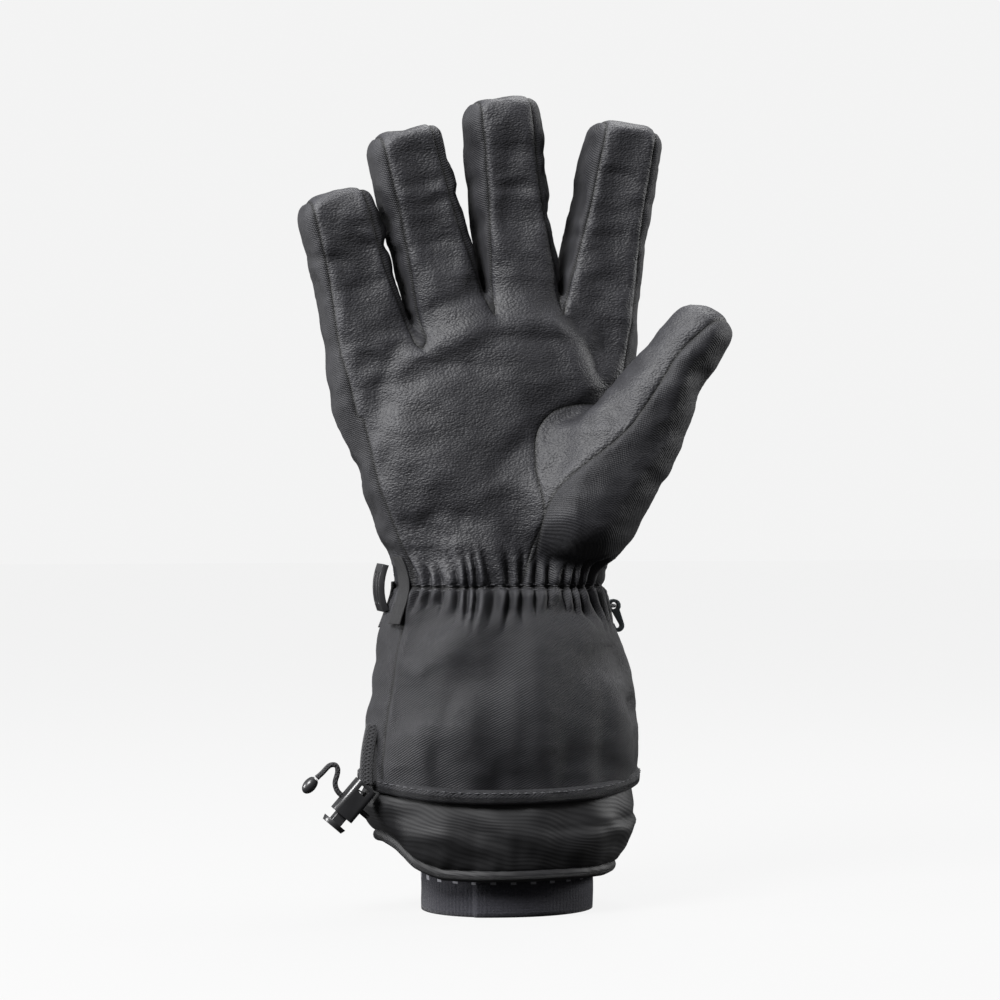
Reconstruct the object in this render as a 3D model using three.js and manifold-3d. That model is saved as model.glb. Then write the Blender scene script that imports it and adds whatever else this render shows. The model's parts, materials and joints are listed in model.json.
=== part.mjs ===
// Insulated ski glove for the right hand, standing on its inner cuff.
// Frame: millimetres, +Z from the cuff to the fingertips, palm towards -Y, thumb towards +X,
// origin on the inner cuff's rim, in the middle of its thumb side. The dimensions below count x from the
// centre of the cuff.
//
// The outer shell is sewn from flat panels over a padded liner. Each finger is cut at its knuckle and at
// its middle joint, where the real fabric bends; the two sides of a cut are bevelled so that they can close.

import * as THREE from "three";
import { mergeVertices } from "three/addons/utils/BufferGeometryUtils.js";
import Module from "manifold-3d";

const wasm = await Module();
wasm.setup();

// ---------- driving dimensions, mm ----------

const SHELL = 1.2; // outer fabric and leather
const LINER_OUT = 1.6; // the liner starts this far inside the shell's outer face
const LINER_IN = 4.8; // and ends here, so it is 3.2 thick
const GAP = 0.5; // half the slit left at a bending joint
const SEAM_DEG = 1.2; // each panel stops this far short of a seam on a finger
const WIDE_SEAM_DEG = 0.5; // the same on the wide hand and cuff

const WRIST_Z = 140; // height of the wrist's bending axis
const WRIST_BEND = 35; // each way
const KNUCKLE_BEND = 60;
const MIDDLE_BEND = 75;
const BACK_BEND = 10; // how far a finger bends backwards

const FINGER_DEPTH = 26;
const TIP_THIN = 0.6; // a finger's half depth at the tip is this much less
const FINGERS = [
  // x and z of the knuckle, lean from upright towards the thumb, whole length, width
  { name: "little", x: -55.4, z: 225, lean: -15.4, length: 61, width: 30.4 },
  { name: "ring", x: -24.8, z: 238.5, lean: -15.6, length: 74, width: 29.4 },
  { name: "middle", x: 5, z: 244, lean: -7.2, length: 80, width: 29 },
  { name: "index", x: 35, z: 239, lean: 9.4, length: 76, width: 29.8 },
];
const FINGER_CURL = 4; // the relaxed finger leans this far to the palm at each joint
const MIDDLE_SHARE = 0.47; // the middle joint's place along a finger
const TIP_TAPER = 0.92; // a finger's width at the tip, as a share of its width at the knuckle
const DOME_SHARE = 1.05; // a fingertip's rounded height, as a share of its half depth
const PALM_SIDE = [225, 315]; // the leather strip of a finger, degrees round its section
const CAP_FROM = 0.97; // the leather runs over the fingertip from this share of the stall

const THUMB = {
  knuckle: new THREE.Vector3(46.5, -28, 192),
  axis: new THREE.Vector3(0.485, -0.2, 0.85),
  palmar: new THREE.Vector3(-0.62, -0.74, 0.26),
  length: 54,
  middle: 26,
  half: [16, 14.5], // half width and half depth at the knuckle
  tipHalf: [11.5, 11],
  bend: 28,
  tipBend: 50,
};
// The mound below the thumb's knuckle, which swells and shifts towards the palm.
const THUMB_BASE = {
  length: 50,
  swell: [9, 8],
  shift: -5,
  leather: [202, 316],
  fabric: [-42, 200],
  mouth: [0.15, 0.75], // the shares of its length where it opens into the hand
};

// Sections from end to end of a skin: [share of height, centre x, half width, half depth]
const HAND = [
  [0, -4.2, 44, 24.5],
  [0.35, -9.6, 49.8, 22.5],
  [0.7, -11, 55, 19],
  [1, -8.8, 59.2, 15],
];
const GAUNTLET = [
  [0, -3, 55, 36],
  [0.35, -2.7, 53.2, 35],
  [0.66, -4, 46.8, 31],
  [0.84, -3.4, 41.2, 26.5],
  [1, -3.6, 41.8, 25],
];
const HAND_ROWS = HAND.map(([share]) => share);
const GAUNTLET_ROWS = GAUNTLET.map(([share]) => share);
const WAIST = GAUNTLET_ROWS[3]; // the narrowest row, under the wrist

// Panel arcs, degrees round the section from +X
const PALM_ARC = [212, 328];
const ULNAR_ARC = [148, 212];
const BACK_ARC = [-32, 148];
const GAUNTLET_PALM = [207, 372];
const GAUNTLET_BACK = [12, 163];
const GAUNTLET_SIDE = [163, 207];

// How square each section is: 2 is an ellipse
const ROUNDING = { finger: 3, hand: 2.8, thumbBase: 2.6, gauntlet: 2.3, cuff: 2.1 };

const HAND_LINER = { from: 0.01, to: 0.87, out: 2.2, in: 4.8 }; // it stops below the webs
const HAND_TOP = 1.2; // the hand's panels stop this far below the knuckle line
const WEB = { width: 5, thick: 3.8, inset: 2.6, front: 1.8, middle: 1.6, back: 2.6 };

const HEM = { z: 54, dip: 6, below: 2.4, above: 2, out: 0.9, in: 1.5 }; // the dip is on the palm side
const GAUNTLET_LINER = { from: 0.16, out: 3.5, in: 6.2 };
const WRIST_ELASTIC = { rows: [WAIST, 0.95], insets: [2.1, 2.9] };

const INNER_CUFF = { halfWidth: 34.4, halfDepth: 28, wall: 1.6, top: 58, flareFrom: 0.75, flare: [9, 2] };
const DRAW = {
  cord: 1.2,
  bore: 1.7,
  tube: 2.7,
  at: 192, // where the cord comes out, degrees round the section
  half: [43, 33],
  centreX: -1,
  z: 17,
  lift: 18, // the channel rises to the exit
  reach: 11, // and stands out there
  exit: 8, // length of the hole that the cord comes out of
  narrow: 8, // a higher power gathers the skirt over a narrower arc
  steps: 44,
};
const SKIRT = {
  wall: 0.9,
  half: [52.6, 33.4],
  centreX: -3,
  above: 6, // how far it runs up inside the hem
  bulge: 6,
  bulgeSpan: 0.7, // the share of its height that the bulge takes
  fullness: 0.7, // under 1, it widens early and hangs straight
  clear: 0.6,
};

const LOCK = {
  at: new THREE.Vector3(-64.6, -17, 46), // centre of the barrel
  tilt: 49, // the barrel rises this steeply from its button, in the XZ plane
  length: 15,
  width: 9.6,
  depth: 8.6,
  corner: 2,
  pocket: [5.2, 6.6], // the well that the button's stem slides in
  top: 2.2, // the barrel's closed end
  stem: [4.6, 6],
  stemLength: 11,
  head: { wide: 5.2, narrow: 4.6, thick: 2 },
  holeZ: -1.5, // the cord's hole, from the barrel's centre
  press: 3,
  springRadius: 1.7,
  wire: 0.3,
  turns: 3,
};
const TETHER = { top: new THREE.Vector3(-56.4, -12, 73), width: 7, thick: 1.4 };
const CORD_END = { radius: 2.7, stretch: 1.5 };

const BUCKLE = {
  at: new THREE.Vector3(-50.6, 5, 128),
  height: 19,
  depth: 15,
  thick: 2.4,
  bulge: 3.6,
  slot: [2.6, 12.5],
  slotY: 3.4,
};
const STRAP = { angles: [8, 166], rows: [WAIST - 0.09, WAIST, WAIST + 0.07], insets: [-2, -0.8] };
const LABEL = { angles: [194, 206], rows: [WAIST - 0.12, WAIST, 0.97], insets: [-1.5, -0.7] };
const CLIP = {
  at: new THREE.Vector3(45.2, 5, 120), // centre of the eye
  lean: 24, // the hook hangs this far out from upright
  eye: 2.7,
  hole: 1.5,
  drop: 8,
  inner: 1.1,
  bar: 1.5,
  thick: 3,
  loop: 0.8, // radius of the cord loop through the eye
};

// ---------- materials ----------

const finish = (hex, roughness, metalness = 0) =>
  new THREE.MeshStandardMaterial({ color: hex, roughness, metalness });
const LEATHER = finish(0x36363a, 0.55);
const WOVEN = finish(0x28282c, 0.9);
const SKIRT_FABRIC = finish(0x1d1d20, 0.6);
const KNIT = finish(0x1b1b22, 0.95);
const LINING = finish(0x3a3a3e, 0.95);
const WEBBING = finish(0x18181a, 0.85);
const PLASTIC = finish(0x202022, 0.4);
const GREY_PLASTIC = finish(0x5b6266, 0.45);
const STEEL = finish(0xb8bcc0, 0.3, 1);
const ELASTIC = finish(0x141416, 0.8);

// ---------- geometry helpers ----------

const rad = THREE.MathUtils.degToRad;
const bevel = (degrees) => Math.tan(rad(degrees / 2));
const lerp = THREE.MathUtils.lerp;

// A point of a rounded rectangle, in its own plane; angle 0 is +X and 90 is +Y.
function roundedPoint(halfWidth, halfDepth, degrees, power) {
  const c = Math.cos(rad(degrees));
  const s = Math.sin(rad(degrees));
  const soft = (v) => Math.sign(v) * Math.abs(v) ** (2 / power);
  return [halfWidth * soft(c), halfDepth * soft(s)];
}

// The entry of a section table at a share of its height, with straight lines between rows.
function sectionAt(table, share) {
  const next = Math.max(1, table.findIndex((row) => row[0] >= share));
  const [low, high] = [table[next - 1], table[next]];
  const part = (share - low[0]) / (high[0] - low[0]);
  return low.map((value, i) => lerp(value, high[i], part));
}

// Vertices and faces to a closed BufferGeometry, with faces of no area dropped.
function closedGeometry(points, faces) {
  const flat = new THREE.BufferGeometry();
  flat.setAttribute("position", new THREE.Float32BufferAttribute(points.flat(), 3));
  flat.setIndex(faces.flat());
  const merged = mergeVertices(flat, 1e-3);
  const index = merged.index.array;
  const kept = [];
  for (let i = 0; i < index.length; i += 3) {
    const [a, b, c] = index.slice(i, i + 3);
    if (a !== b && b !== c && c !== a) kept.push(a, b, c);
  }
  merged.setIndex(kept);
  return merged;
}

// Even rows between two shares.
const evenly = (from, to, steps) => Array.from({ length: steps + 1 }, (_, i) => lerp(from, to, i / steps));

// A piece of a skin's wall. skin(angle, share, inset) gives a point; the piece spans two angles and the
// shares in rows, and lies between two insets. A skin that closes to a point at the last row has tip: true.
function wall(skin, { angles, across, rows, insets = [0, SHELL], tip = false }) {
  const along = rows.length - 1;
  const round = Math.abs(angles[1] - angles[0]) >= 360;
  const points = [];
  for (const inset of insets)
    for (let j = 0; j <= along; j++)
      for (let i = 0; i <= across; i++) {
        const angle = lerp(angles[0], angles[1], round && i === across ? 0 : i / across);
        points.push(skin(angle, rows[j], inset));
      }
  const layer = (across + 1) * (along + 1);
  const at = (side, i, j) => side * layer + j * (across + 1) + i;
  const faces = [];
  const quad = (a, b, c, d) => faces.push([a, b, c], [a, c, d]);
  for (let j = 0; j < along; j++)
    for (let i = 0; i < across; i++) {
      quad(at(0, i, j), at(0, i + 1, j), at(0, i + 1, j + 1), at(0, i, j + 1));
      quad(at(1, i, j), at(1, i, j + 1), at(1, i + 1, j + 1), at(1, i + 1, j));
    }
  for (let i = 0; i < across; i++) {
    quad(at(0, i, 0), at(1, i, 0), at(1, i + 1, 0), at(0, i + 1, 0));
    if (!tip) quad(at(0, i, along), at(0, i + 1, along), at(1, i + 1, along), at(1, i, along));
  }
  for (let j = 0; j < along && !round; j++) {
    quad(at(0, 0, j), at(0, 0, j + 1), at(1, 0, j + 1), at(1, 0, j));
    quad(at(0, across, j), at(1, across, j), at(1, across, j + 1), at(0, across, j + 1));
  }
  return closedGeometry(points, faces);
}

// A full solid inside a skin, for cutting other pieces with.
function core(skin, inset, rows, around) {
  const along = rows.length - 1;
  const points = [];
  for (let j = 0; j <= along; j++)
    for (let i = 0; i < around; i++)
      points.push(skin((360 * i) / around, rows[j], inset));
  const mean = (j) => {
    const ring = points.slice(j * around, (j + 1) * around);
    return [0, 1, 2].map((k) => ring.reduce((sum, p) => sum + p[k], 0) / around);
  };
  const bottom = points.push(mean(0)) - 1;
  const top = points.push(mean(along)) - 1;
  const faces = [];
  for (let i = 0; i < around; i++) {
    const next = (i + 1) % around;
    for (let j = 0; j < along; j++) {
      const [a, b] = [j * around + i, j * around + next];
      faces.push([a, b, b + around], [a, b + around, a + around]);
    }
    faces.push([bottom, next, i], [top, along * around + i, along * around + next]);
  }
  return closedGeometry(points, faces);
}

function toSolid(geometry) {
  const bare = geometry.clone();
  bare.deleteAttribute("normal");
  bare.deleteAttribute("uv");
  const merged = mergeVertices(bare, 1e-4);
  return new wasm.Manifold(
    new wasm.Mesh({
      numProp: 3,
      vertProperties: new Float32Array(merged.attributes.position.array),
      triVerts: new Uint32Array(merged.index.array),
    }),
  );
}

function toGeometry(solid) {
  const mesh = solid.getMesh();
  const geometry = new THREE.BufferGeometry();
  geometry.setAttribute("position", new THREE.BufferAttribute(mesh.vertProperties, 3));
  geometry.setIndex(new THREE.BufferAttribute(mesh.triVerts, 1));
  return geometry;
}

const largest = (solid) => solid.decompose().sort((a, b) => b.volume() - a.volume())[0];
const joined = (first, ...rest) =>
  toGeometry(rest.reduce((sum, g) => sum.add(toSolid(g)), toSolid(first)));
const cut = (first, ...rest) =>
  toGeometry(largest(rest.reduce((left, g) => left.subtract(toSolid(g)), toSolid(first))));

function mesh(name, geometry, material) {
  const made = new THREE.Mesh(geometry, material);
  made.name = name;
  return made;
}

// A round bar along a curve.
function bar(curve, radius, lengthSteps, sides = 8) {
  const round = new THREE.Shape().absarc(0, 0, radius, 0, 2 * Math.PI);
  return new THREE.ExtrudeGeometry(round, {
    curveSegments: sides,
    steps: lengthSteps,
    extrudePath: curve,
  });
}

// A round bar that closes on itself, with the frames of the curve turned to stay smooth.
function closedBar(pointAt, radius, lengthSteps, sides = 8) {
  const skin = (angle, share) => {
    const [p, ahead] = [pointAt(share), pointAt(share + 1e-3)];
    const along = ahead.clone().sub(p).normalize();
    const side = new THREE.Vector3(0, 0, 1).cross(along).normalize();
    const up = along.clone().cross(side);
    p.addScaledVector(side, radius * Math.cos(rad(angle)));
    return p.addScaledVector(up, radius * Math.sin(rad(angle))).toArray();
  };
  const points = [];
  const faces = [];
  for (let j = 0; j < lengthSteps; j++)
    for (let i = 0; i < sides; i++) points.push(skin((360 * i) / sides, j / lengthSteps));
  for (let j = 0; j < lengthSteps; j++)
    for (let i = 0; i < sides; i++) {
      const [n, m] = [(i + 1) % sides, (j + 1) % lengthSteps];
      const [a, b, c, d] = [j * sides + i, j * sides + n, m * sides + n, m * sides + i];
      faces.push([a, b, c], [a, c, d]);
    }
  return closedGeometry(points, faces);
}

// ---------- a finger or thumb ----------

// One stall's tube in its own frame: +Z along the finger, palm towards -Y, starting on a bevelled joint.
// Shares 0 to 1 are the straight part and 1 to 2 the rounded tip, if it has one.
function stall({ from, to, bottomBend, topBend, length, dome = 0 }) {
  const rise = (y, bend) => GAP + (y < 0 ? -y * bevel(bend) : y * bevel(BACK_BEND));
  return (angle, share, inset) => {
    const straight = Math.min(share, 1);
    const [a, b] = [0, 1].map((k) => lerp(from[k], to[k], straight) - inset);
    const [x, y] = roundedPoint(a, b, angle, ROUNDING.finger);
    if (share <= 1) {
      const low = rise(y, bottomBend);
      const high = dome ? length - dome : length - rise(y, topBend);
      return [x, y, lerp(low, high, share)];
    }
    const turn = rad(90 * (share - 1));
    const shrink = share >= 2 ? 0 : Math.cos(turn) ** (2 / 3);
    return [x * shrink, y * shrink, length - dome + (dome - inset) * Math.sin(turn) ** (2 / 3)];
  };
}

const rest = ([a, b]) => [b - 360, a];
const trimmed = ([a, b], by) => [a + by, b - by];

function stallPieces(name, skin, hasTip) {
  const overlap = 0.02; // the strip runs into the cap, so that the two join
  const leather = wall(skin, {
    angles: trimmed(PALM_SIDE, SEAM_DEG),
    across: 4,
    rows: evenly(0, hasTip ? CAP_FROM + overlap : 1, 2),
  });
  const fabric = wall(skin, {
    angles: trimmed(rest(PALM_SIDE), SEAM_DEG),
    across: 10,
    rows: evenly(0, hasTip ? CAP_FROM - overlap : 1, 2),
  });
  const cap = () =>
    wall(skin, { angles: [-45, 315], across: 16, rows: evenly(CAP_FROM, 2, 4), tip: true });
  const liner = wall(skin, {
    angles: [0, 360],
    across: 12,
    rows: hasTip ? evenly(0, 2, 6) : evenly(0, 1, 2),
    insets: [LINER_OUT, LINER_IN],
    tip: hasTip,
  });
  const part = hasTip ? "tip" : "lower";
  return [
    mesh(`${name}_${part}_leather`, hasTip ? joined(leather, cap()) : leather, LEATHER),
    mesh(`${name}_${part}_fabric`, fabric, WOVEN),
    mesh(`${name}_${part}_liner`, liner, LINING),
  ];
}

function digit({ name, from, to, length, middle, bend, tipBend, curl }) {
  const knuckle = new THREE.Group();
  const halfway = [0, 1].map((k) => lerp(from[k], to[k], 0.5));
  const [low, high] = [bend + curl, tipBend + curl];
  const lower = stall({ from, to: halfway, bottomBend: low, topBend: high, length: middle });
  knuckle.add(...stallPieces(name, lower, false));
  const bending = new THREE.Group();
  bending.position.z = middle;
  bending.rotation.x = rad(curl);
  const dome = Math.min(...to) * DOME_SHARE;
  const upper = stall({ from: halfway, to, bottomBend: high, length: length - middle, dome });
  bending.add(...stallPieces(name, upper, true));
  knuckle.add(bending);
  return knuckle;
}

function finger(spec) {
  const half = spec.width / 2;
  const made = digit({
    name: spec.name,
    from: [half, FINGER_DEPTH / 2],
    to: [half * TIP_TAPER, FINGER_DEPTH / 2 - TIP_THIN],
    length: spec.length,
    middle: spec.length * MIDDLE_SHARE,
    bend: KNUCKLE_BEND,
    tipBend: MIDDLE_BEND,
    curl: FINGER_CURL,
  });
  made.position.set(spec.x, 0, spec.z);
  made.rotation.set(rad(FINGER_CURL), rad(spec.lean), 0, "YXZ");
  return made;
}

// The thumb's frame: +Z along the thumb and -Y out of its palm side.
function thumbFrame() {
  const z = THUMB.axis.clone().normalize();
  const y = THUMB.palmar.clone().addScaledVector(z, -THUMB.palmar.dot(z)).normalize().negate();
  const x = y.clone().cross(z);
  return new THREE.Matrix4().makeBasis(x, y, z).setPosition(THUMB.knuckle);
}

function thumb() {
  const made = digit({
    name: "thumb",
    from: THUMB.half,
    to: THUMB.tipHalf,
    length: THUMB.length,
    middle: THUMB.middle,
    bend: THUMB.bend,
    tipBend: THUMB.tipBend,
    curl: 0,
  });
  made.applyMatrix4(thumbFrame());
  return made;
}

// ---------- the hand ----------

// The line across the hand that the finger joints stand on: the lower of two fingers at each gap.
function knuckleLine() {
  const lineOf = (f, x) => f.z - (x - f.x) * Math.tan(rad(f.lean));
  const [first, last] = [FINGERS[0], FINGERS[FINGERS.length - 1]];
  const beyond = 2;
  const ends = [first.x - first.width / 2 - beyond, last.x + last.width / 2 + beyond];
  const gaps = FINGERS.slice(1).map((f, i) => (f.x + FINGERS[i].x) / 2);
  const knots = [ends[0], ...gaps, ends[1]];
  return knots.map((x, i) => {
    const near = [FINGERS[i - 1], FINGERS[i]].filter(Boolean);
    return [x, Math.min(...near.map((f) => lineOf(f, x)))];
  });
}
const KNUCKLES = knuckleLine();

function knuckleHeight(x) {
  const next = KNUCKLES.findIndex(([knot]) => knot >= x);
  if (next === -1) return KNUCKLES[KNUCKLES.length - 1][1];
  if (next === 0) return KNUCKLES[0][1];
  const [[x0, z0], [x1, z1]] = [KNUCKLES[next - 1], KNUCKLES[next]];
  return lerp(z0, z1, (x - x0) / (x1 - x0));
}

const wristRise = (y) => GAP + Math.abs(y) * bevel(WRIST_BEND);

const handSkin = (angle, share, inset) => {
  const [, centre, halfWidth, halfDepth] = sectionAt(HAND, share);
  const [x, y] = roundedPoint(halfWidth - inset, halfDepth - inset, angle, ROUNDING.hand);
  const low = WRIST_Z + wristRise(y);
  const bent = y < 0 ? -y * bevel(KNUCKLE_BEND) : y * bevel(BACK_BEND);
  const high = knuckleHeight(centre + x) - HAND_TOP - bent;
  return [centre + x, y, lerp(low, high, share)];
};

// The mound that carries the thumb, from inside the palm to the thumb's knuckle.
function thumbBase() {
  const { length, swell, shift, leather, fabric, mouth } = THUMB_BASE;
  const skin = (angle, share, inset) => {
    const grown = 1 - share;
    const half = [0, 1].map((k) => THUMB.half[k] + swell[k] * grown - inset);
    const [x, y] = roundedPoint(...half, angle, ROUNDING.thumbBase);
    const top = -GAP - (y < 0 ? -y * bevel(THUMB.bend) : y * bevel(BACK_BEND));
    return [x + shift * grown, y, lerp(-length, top, share)];
  };
  const place = (geometry) => geometry.applyMatrix4(thumbFrame());
  const body = core(handSkin, -1, [-0.06, ...HAND_ROWS], 32);
  const rows = evenly(0, 1, 4);
  return {
    leather: cut(place(wall(skin, { angles: leather, across: 6, rows })), body),
    fabric: cut(place(wall(skin, { angles: fabric, across: 12, rows })), body),
    mouth: place(core(skin, LINER_IN, evenly(...mouth, 2), 12)),
  };
}

function hand() {
  const base = thumbBase();
  const panel = (arc, across) =>
    wall(handSkin, { angles: trimmed(arc, WIDE_SEAM_DEG), across, rows: HAND_ROWS });
  const liner = wall(handSkin, {
    angles: [0, 360],
    across: 28,
    rows: [HAND_LINER.from, ...HAND_ROWS.slice(1, -1), HAND_LINER.to],
    insets: [HAND_LINER.out, HAND_LINER.in],
  });
  const group = new THREE.Group();
  group.add(
    mesh("palm_panel", cut(panel(PALM_ARC, 14), base.mouth), LEATHER),
    mesh("back_panel", cut(panel(BACK_ARC, 20), base.mouth), WOVEN),
    mesh("ulnar_side_panel", panel(ULNAR_ARC, 6), WOVEN),
    mesh("hand_liner", cut(liner, base.mouth), LINING),
    mesh("thumb_base_leather", base.leather, LEATHER),
    mesh("thumb_base_fabric", base.fabric, WOVEN),
  );
  const pairs = ["little_ring", "ring_middle", "middle_index"];
  KNUCKLES.slice(1, -1).forEach(([x, z], i) => group.add(web(pairs[i], x, z)));
  return group;
}

// The fourchette's saddle between two fingers: a small arched strip across the hand's open end.
function web(name, x, z) {
  const reach = FINGER_DEPTH / 2 - WEB.inset;
  const drop = reach * bevel(KNUCKLE_BEND);
  const hump = -reach / 5;
  const side = new THREE.Shape();
  side.moveTo(-reach, -WEB.front - drop);
  side.quadraticCurveTo(hump, -WEB.middle, reach, -WEB.back);
  side.lineTo(reach, -WEB.back - WEB.thick);
  side.quadraticCurveTo(hump, -WEB.middle - WEB.thick, -reach, -WEB.front - WEB.thick - drop);
  side.closePath();
  const strip = new THREE.ExtrudeGeometry(side, {
    depth: WEB.width,
    bevelEnabled: false,
    curveSegments: 4,
  });
  const made = mesh(`fourchette_${name}`, strip, WOVEN);
  // The outline's x runs front to back, its y upwards and its depth across the hand.
  const [alongX, alongY, alongZ] = [0, 1, 2].map((k) => new THREE.Vector3().setComponent(k, 1));
  made.quaternion.setFromRotationMatrix(new THREE.Matrix4().makeBasis(alongY, alongZ, alongX));
  made.position.set(x - WEB.width / 2, 0, z);
  return made;
}

// ---------- the cuff ----------

const hemHeight = (angle) => HEM.z - HEM.dip * Math.max(0, -Math.sin(rad(angle)));

const gauntletSkin = (angle, share, inset) => {
  const [, centre, halfWidth, halfDepth] = sectionAt(GAUNTLET, share);
  const [x, y] = roundedPoint(halfWidth - inset, halfDepth - inset, angle, ROUNDING.gauntlet);
  const low = hemHeight(angle) + HEM.below;
  return [centre + x, y, lerp(low, WRIST_Z - wristRise(y), share)];
};

// The binding is a band round the gauntlet's lower edge.
const bindingSkin = (angle, share, inset) => {
  const [, centre, halfWidth, halfDepth] = GAUNTLET[0];
  const [x, y] = roundedPoint(halfWidth - inset, halfDepth - inset, angle, ROUNDING.gauntlet);
  return [centre + x, y, hemHeight(angle) + lerp(-HEM.below, HEM.above, share)];
};

// How far the drawcord's exit has hold of the skirt at an angle, from 0 to 1.
const drawnIn = (angle) => Math.max(0, Math.cos(rad(angle - DRAW.at))) ** DRAW.narrow;

function channelPoint(angle, inset = 0) {
  const pull = drawnIn(angle);
  const halfWidth = DRAW.half[0] + DRAW.reach * pull - inset;
  const [x, y] = roundedPoint(halfWidth, DRAW.half[1] - inset, angle, ROUNDING.cuff);
  return [DRAW.centreX + x, y, DRAW.z + DRAW.lift * pull];
}

// The skirt hangs inside the hem, bulges out below it and is drawn in at the bottom.
const skirtSkin = (angle, share, inset) => {
  const { bulge: swell, bulgeSpan, fullness, above, centreX, clear } = SKIRT;
  const half = SKIRT.half.map((size) => size - inset);
  const [bottomX, bottomY, channelZ] = channelPoint(angle, inset);
  const [topX, topY] = roundedPoint(...half, angle, ROUNDING.gauntlet);
  const bulge = swell * Math.sin(Math.PI * Math.min(1, share / bulgeSpan)) * (1 - drawnIn(angle));
  const eased = Math.sin((share * Math.PI) / 2) ** fullness;
  const out = bulge / Math.hypot(topX / half[0], topY / half[1]);
  return [
    lerp(bottomX, topX + centreX, eased) + out * Math.cos(rad(angle)),
    lerp(bottomY, topY, eased) + out * Math.sin(rad(angle)),
    lerp(channelZ + DRAW.tube + clear, hemHeight(angle) + above, share),
  ];
};

// A plain tube that flares on the thumb side near its top.
const innerCuffSkin = (angle, share, inset) => {
  const { halfWidth, halfDepth, top, flareFrom, flare } = INNER_CUFF;
  const flared = Math.max(0, share - flareFrom) / (1 - flareFrom);
  const wide = halfWidth + flare[0] * flared - inset;
  const [x, y] = roundedPoint(wide, halfDepth - inset, angle, ROUNDING.cuff);
  return [x - flare[1] * flared, y, top * share];
};

function drawcordPieces() {
  const { cord, bore, tube, at, exit, steps } = DRAW;
  const centre = (share) => new THREE.Vector3(...channelPoint(at + 360 * share));
  const start = centre(0);
  const out = LOCK.at.clone().sub(start).setLength(exit);
  const hole = bar(new THREE.LineCurve3(start, start.clone().add(out)), bore, 1, 4);
  const channel = cut(closedBar(centre, tube, steps), closedBar(centre, bore, steps), hole);
  // The cord runs round inside the channel and stops just short of its start.
  const slack = 0.03;
  const arc = evenly(slack, 1 - slack, steps).map(centre);
  const loop = bar(new THREE.CatmullRomCurve3(arc), cord, steps, 3);
  return [mesh("skirt_channel", channel, SKIRT_FABRIC), mesh("drawcord", loop, ELASTIC)];
}

function cuff() {
  const panel = (arc, across) =>
    wall(gauntletSkin, { angles: trimmed(arc, WIDE_SEAM_DEG), across, rows: GAUNTLET_ROWS });
  const ring = (skin, rows, insets, across = 28) =>
    wall(skin, { angles: [0, 360], across, rows, insets });
  const linerRows = [GAUNTLET_LINER.from, ...GAUNTLET_ROWS.slice(1)];
  const liner = ring(gauntletSkin, linerRows, [GAUNTLET_LINER.out, GAUNTLET_LINER.in]);
  const elastic = ring(gauntletSkin, WRIST_ELASTIC.rows, WRIST_ELASTIC.insets);
  const tube = evenly(0, 1, 4);
  const group = new THREE.Group();
  group.add(
    mesh("gauntlet_palm_panel", panel(GAUNTLET_PALM, 14), WOVEN),
    mesh("gauntlet_back_panel", panel(GAUNTLET_BACK, 13), WOVEN),
    mesh("gauntlet_side_strip", panel(GAUNTLET_SIDE, 4), WOVEN),
    mesh("hem_binding", ring(bindingSkin, [0, 1], [-HEM.out, HEM.in], 32), WOVEN),
    mesh("wrist_elastic", elastic, ELASTIC),
    mesh("gauntlet_liner", liner, LINING),
    mesh("snow_skirt", ring(skirtSkin, tube, [0, SKIRT.wall], 32), SKIRT_FABRIC),
    mesh("inner_cuff", ring(innerCuffSkin, tube, [0, INNER_CUFF.wall]), KNIT),
    ...drawcordPieces(),
  );
  return group;
}

// ---------- the cord lock ----------

// The lock's frame: +Z up the barrel away from the button, X along the cord's hole towards the skirt.
function lockFrame() {
  const [c, s] = [Math.cos(rad(LOCK.tilt)), Math.sin(rad(LOCK.tilt))];
  const z = new THREE.Vector3(c, 0, s);
  const x = new THREE.Vector3(s, 0, -c);
  return new THREE.Matrix4().makeBasis(x, z.clone().cross(x), z).setPosition(LOCK.at);
}

// A block with its four upright edges rounded.
function block(size, centre, round) {
  const [w, d, h] = size;
  const [a, b] = [w / 2 - round, d / 2 - round];
  const outline = new THREE.Shape();
  [
    [a, b],
    [-a, b],
    [-a, -b],
    [a, -b],
  ].forEach(([x, y], i) => outline.absarc(x, y, round, (i * Math.PI) / 2, ((i + 1) * Math.PI) / 2));
  const made = new THREE.ExtrudeGeometry(outline, { depth: h, bevelEnabled: false, curveSegments: 2 });
  return made.translate(centre[0], centre[1], centre[2] - h / 2);
}

function lockBarrel() {
  const { length, width, depth, corner, pocket, top, holeZ } = LOCK;
  const cordHole = new THREE.CylinderGeometry(DRAW.bore, DRAW.bore, 2 * width, 10);
  cordHole.rotateZ(Math.PI / 2).translate(0, 0, holeZ);
  const well = block([...pocket, length], [0, 0, -top], 0.4);
  const tetherSlot = block([4, 2 * width, 3], [0, 0, length / 2 - 2.5], 0.3);
  return cut(block([width, depth, length], [0, 0, 0], corner), well, cordHole, tetherSlot);
}

// The button's foot sits below the barrel; its stem has a window for the cord.
const stemFoot = () => -LOCK.length / 2 - LOCK.press - 1;

function lockButton() {
  const { stem, stemLength, head, holeZ, press } = LOCK;
  const disc = new THREE.CylinderGeometry(head.wide, head.narrow, head.thick, 18).rotateX(Math.PI / 2);
  disc.translate(0, 0, stemFoot() - 0.6);
  const shaft = block([...stem, stemLength], [0, 0, stemFoot() + stemLength / 2], 0.4);
  const tall = press + 2 * DRAW.bore + 0.4;
  const window = block([2 * stem[0], 2 * DRAW.bore + 0.2, tall], [0, 0, holeZ - press / 2], 0.3);
  return cut(joined(disc, shaft), window);
}

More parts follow.
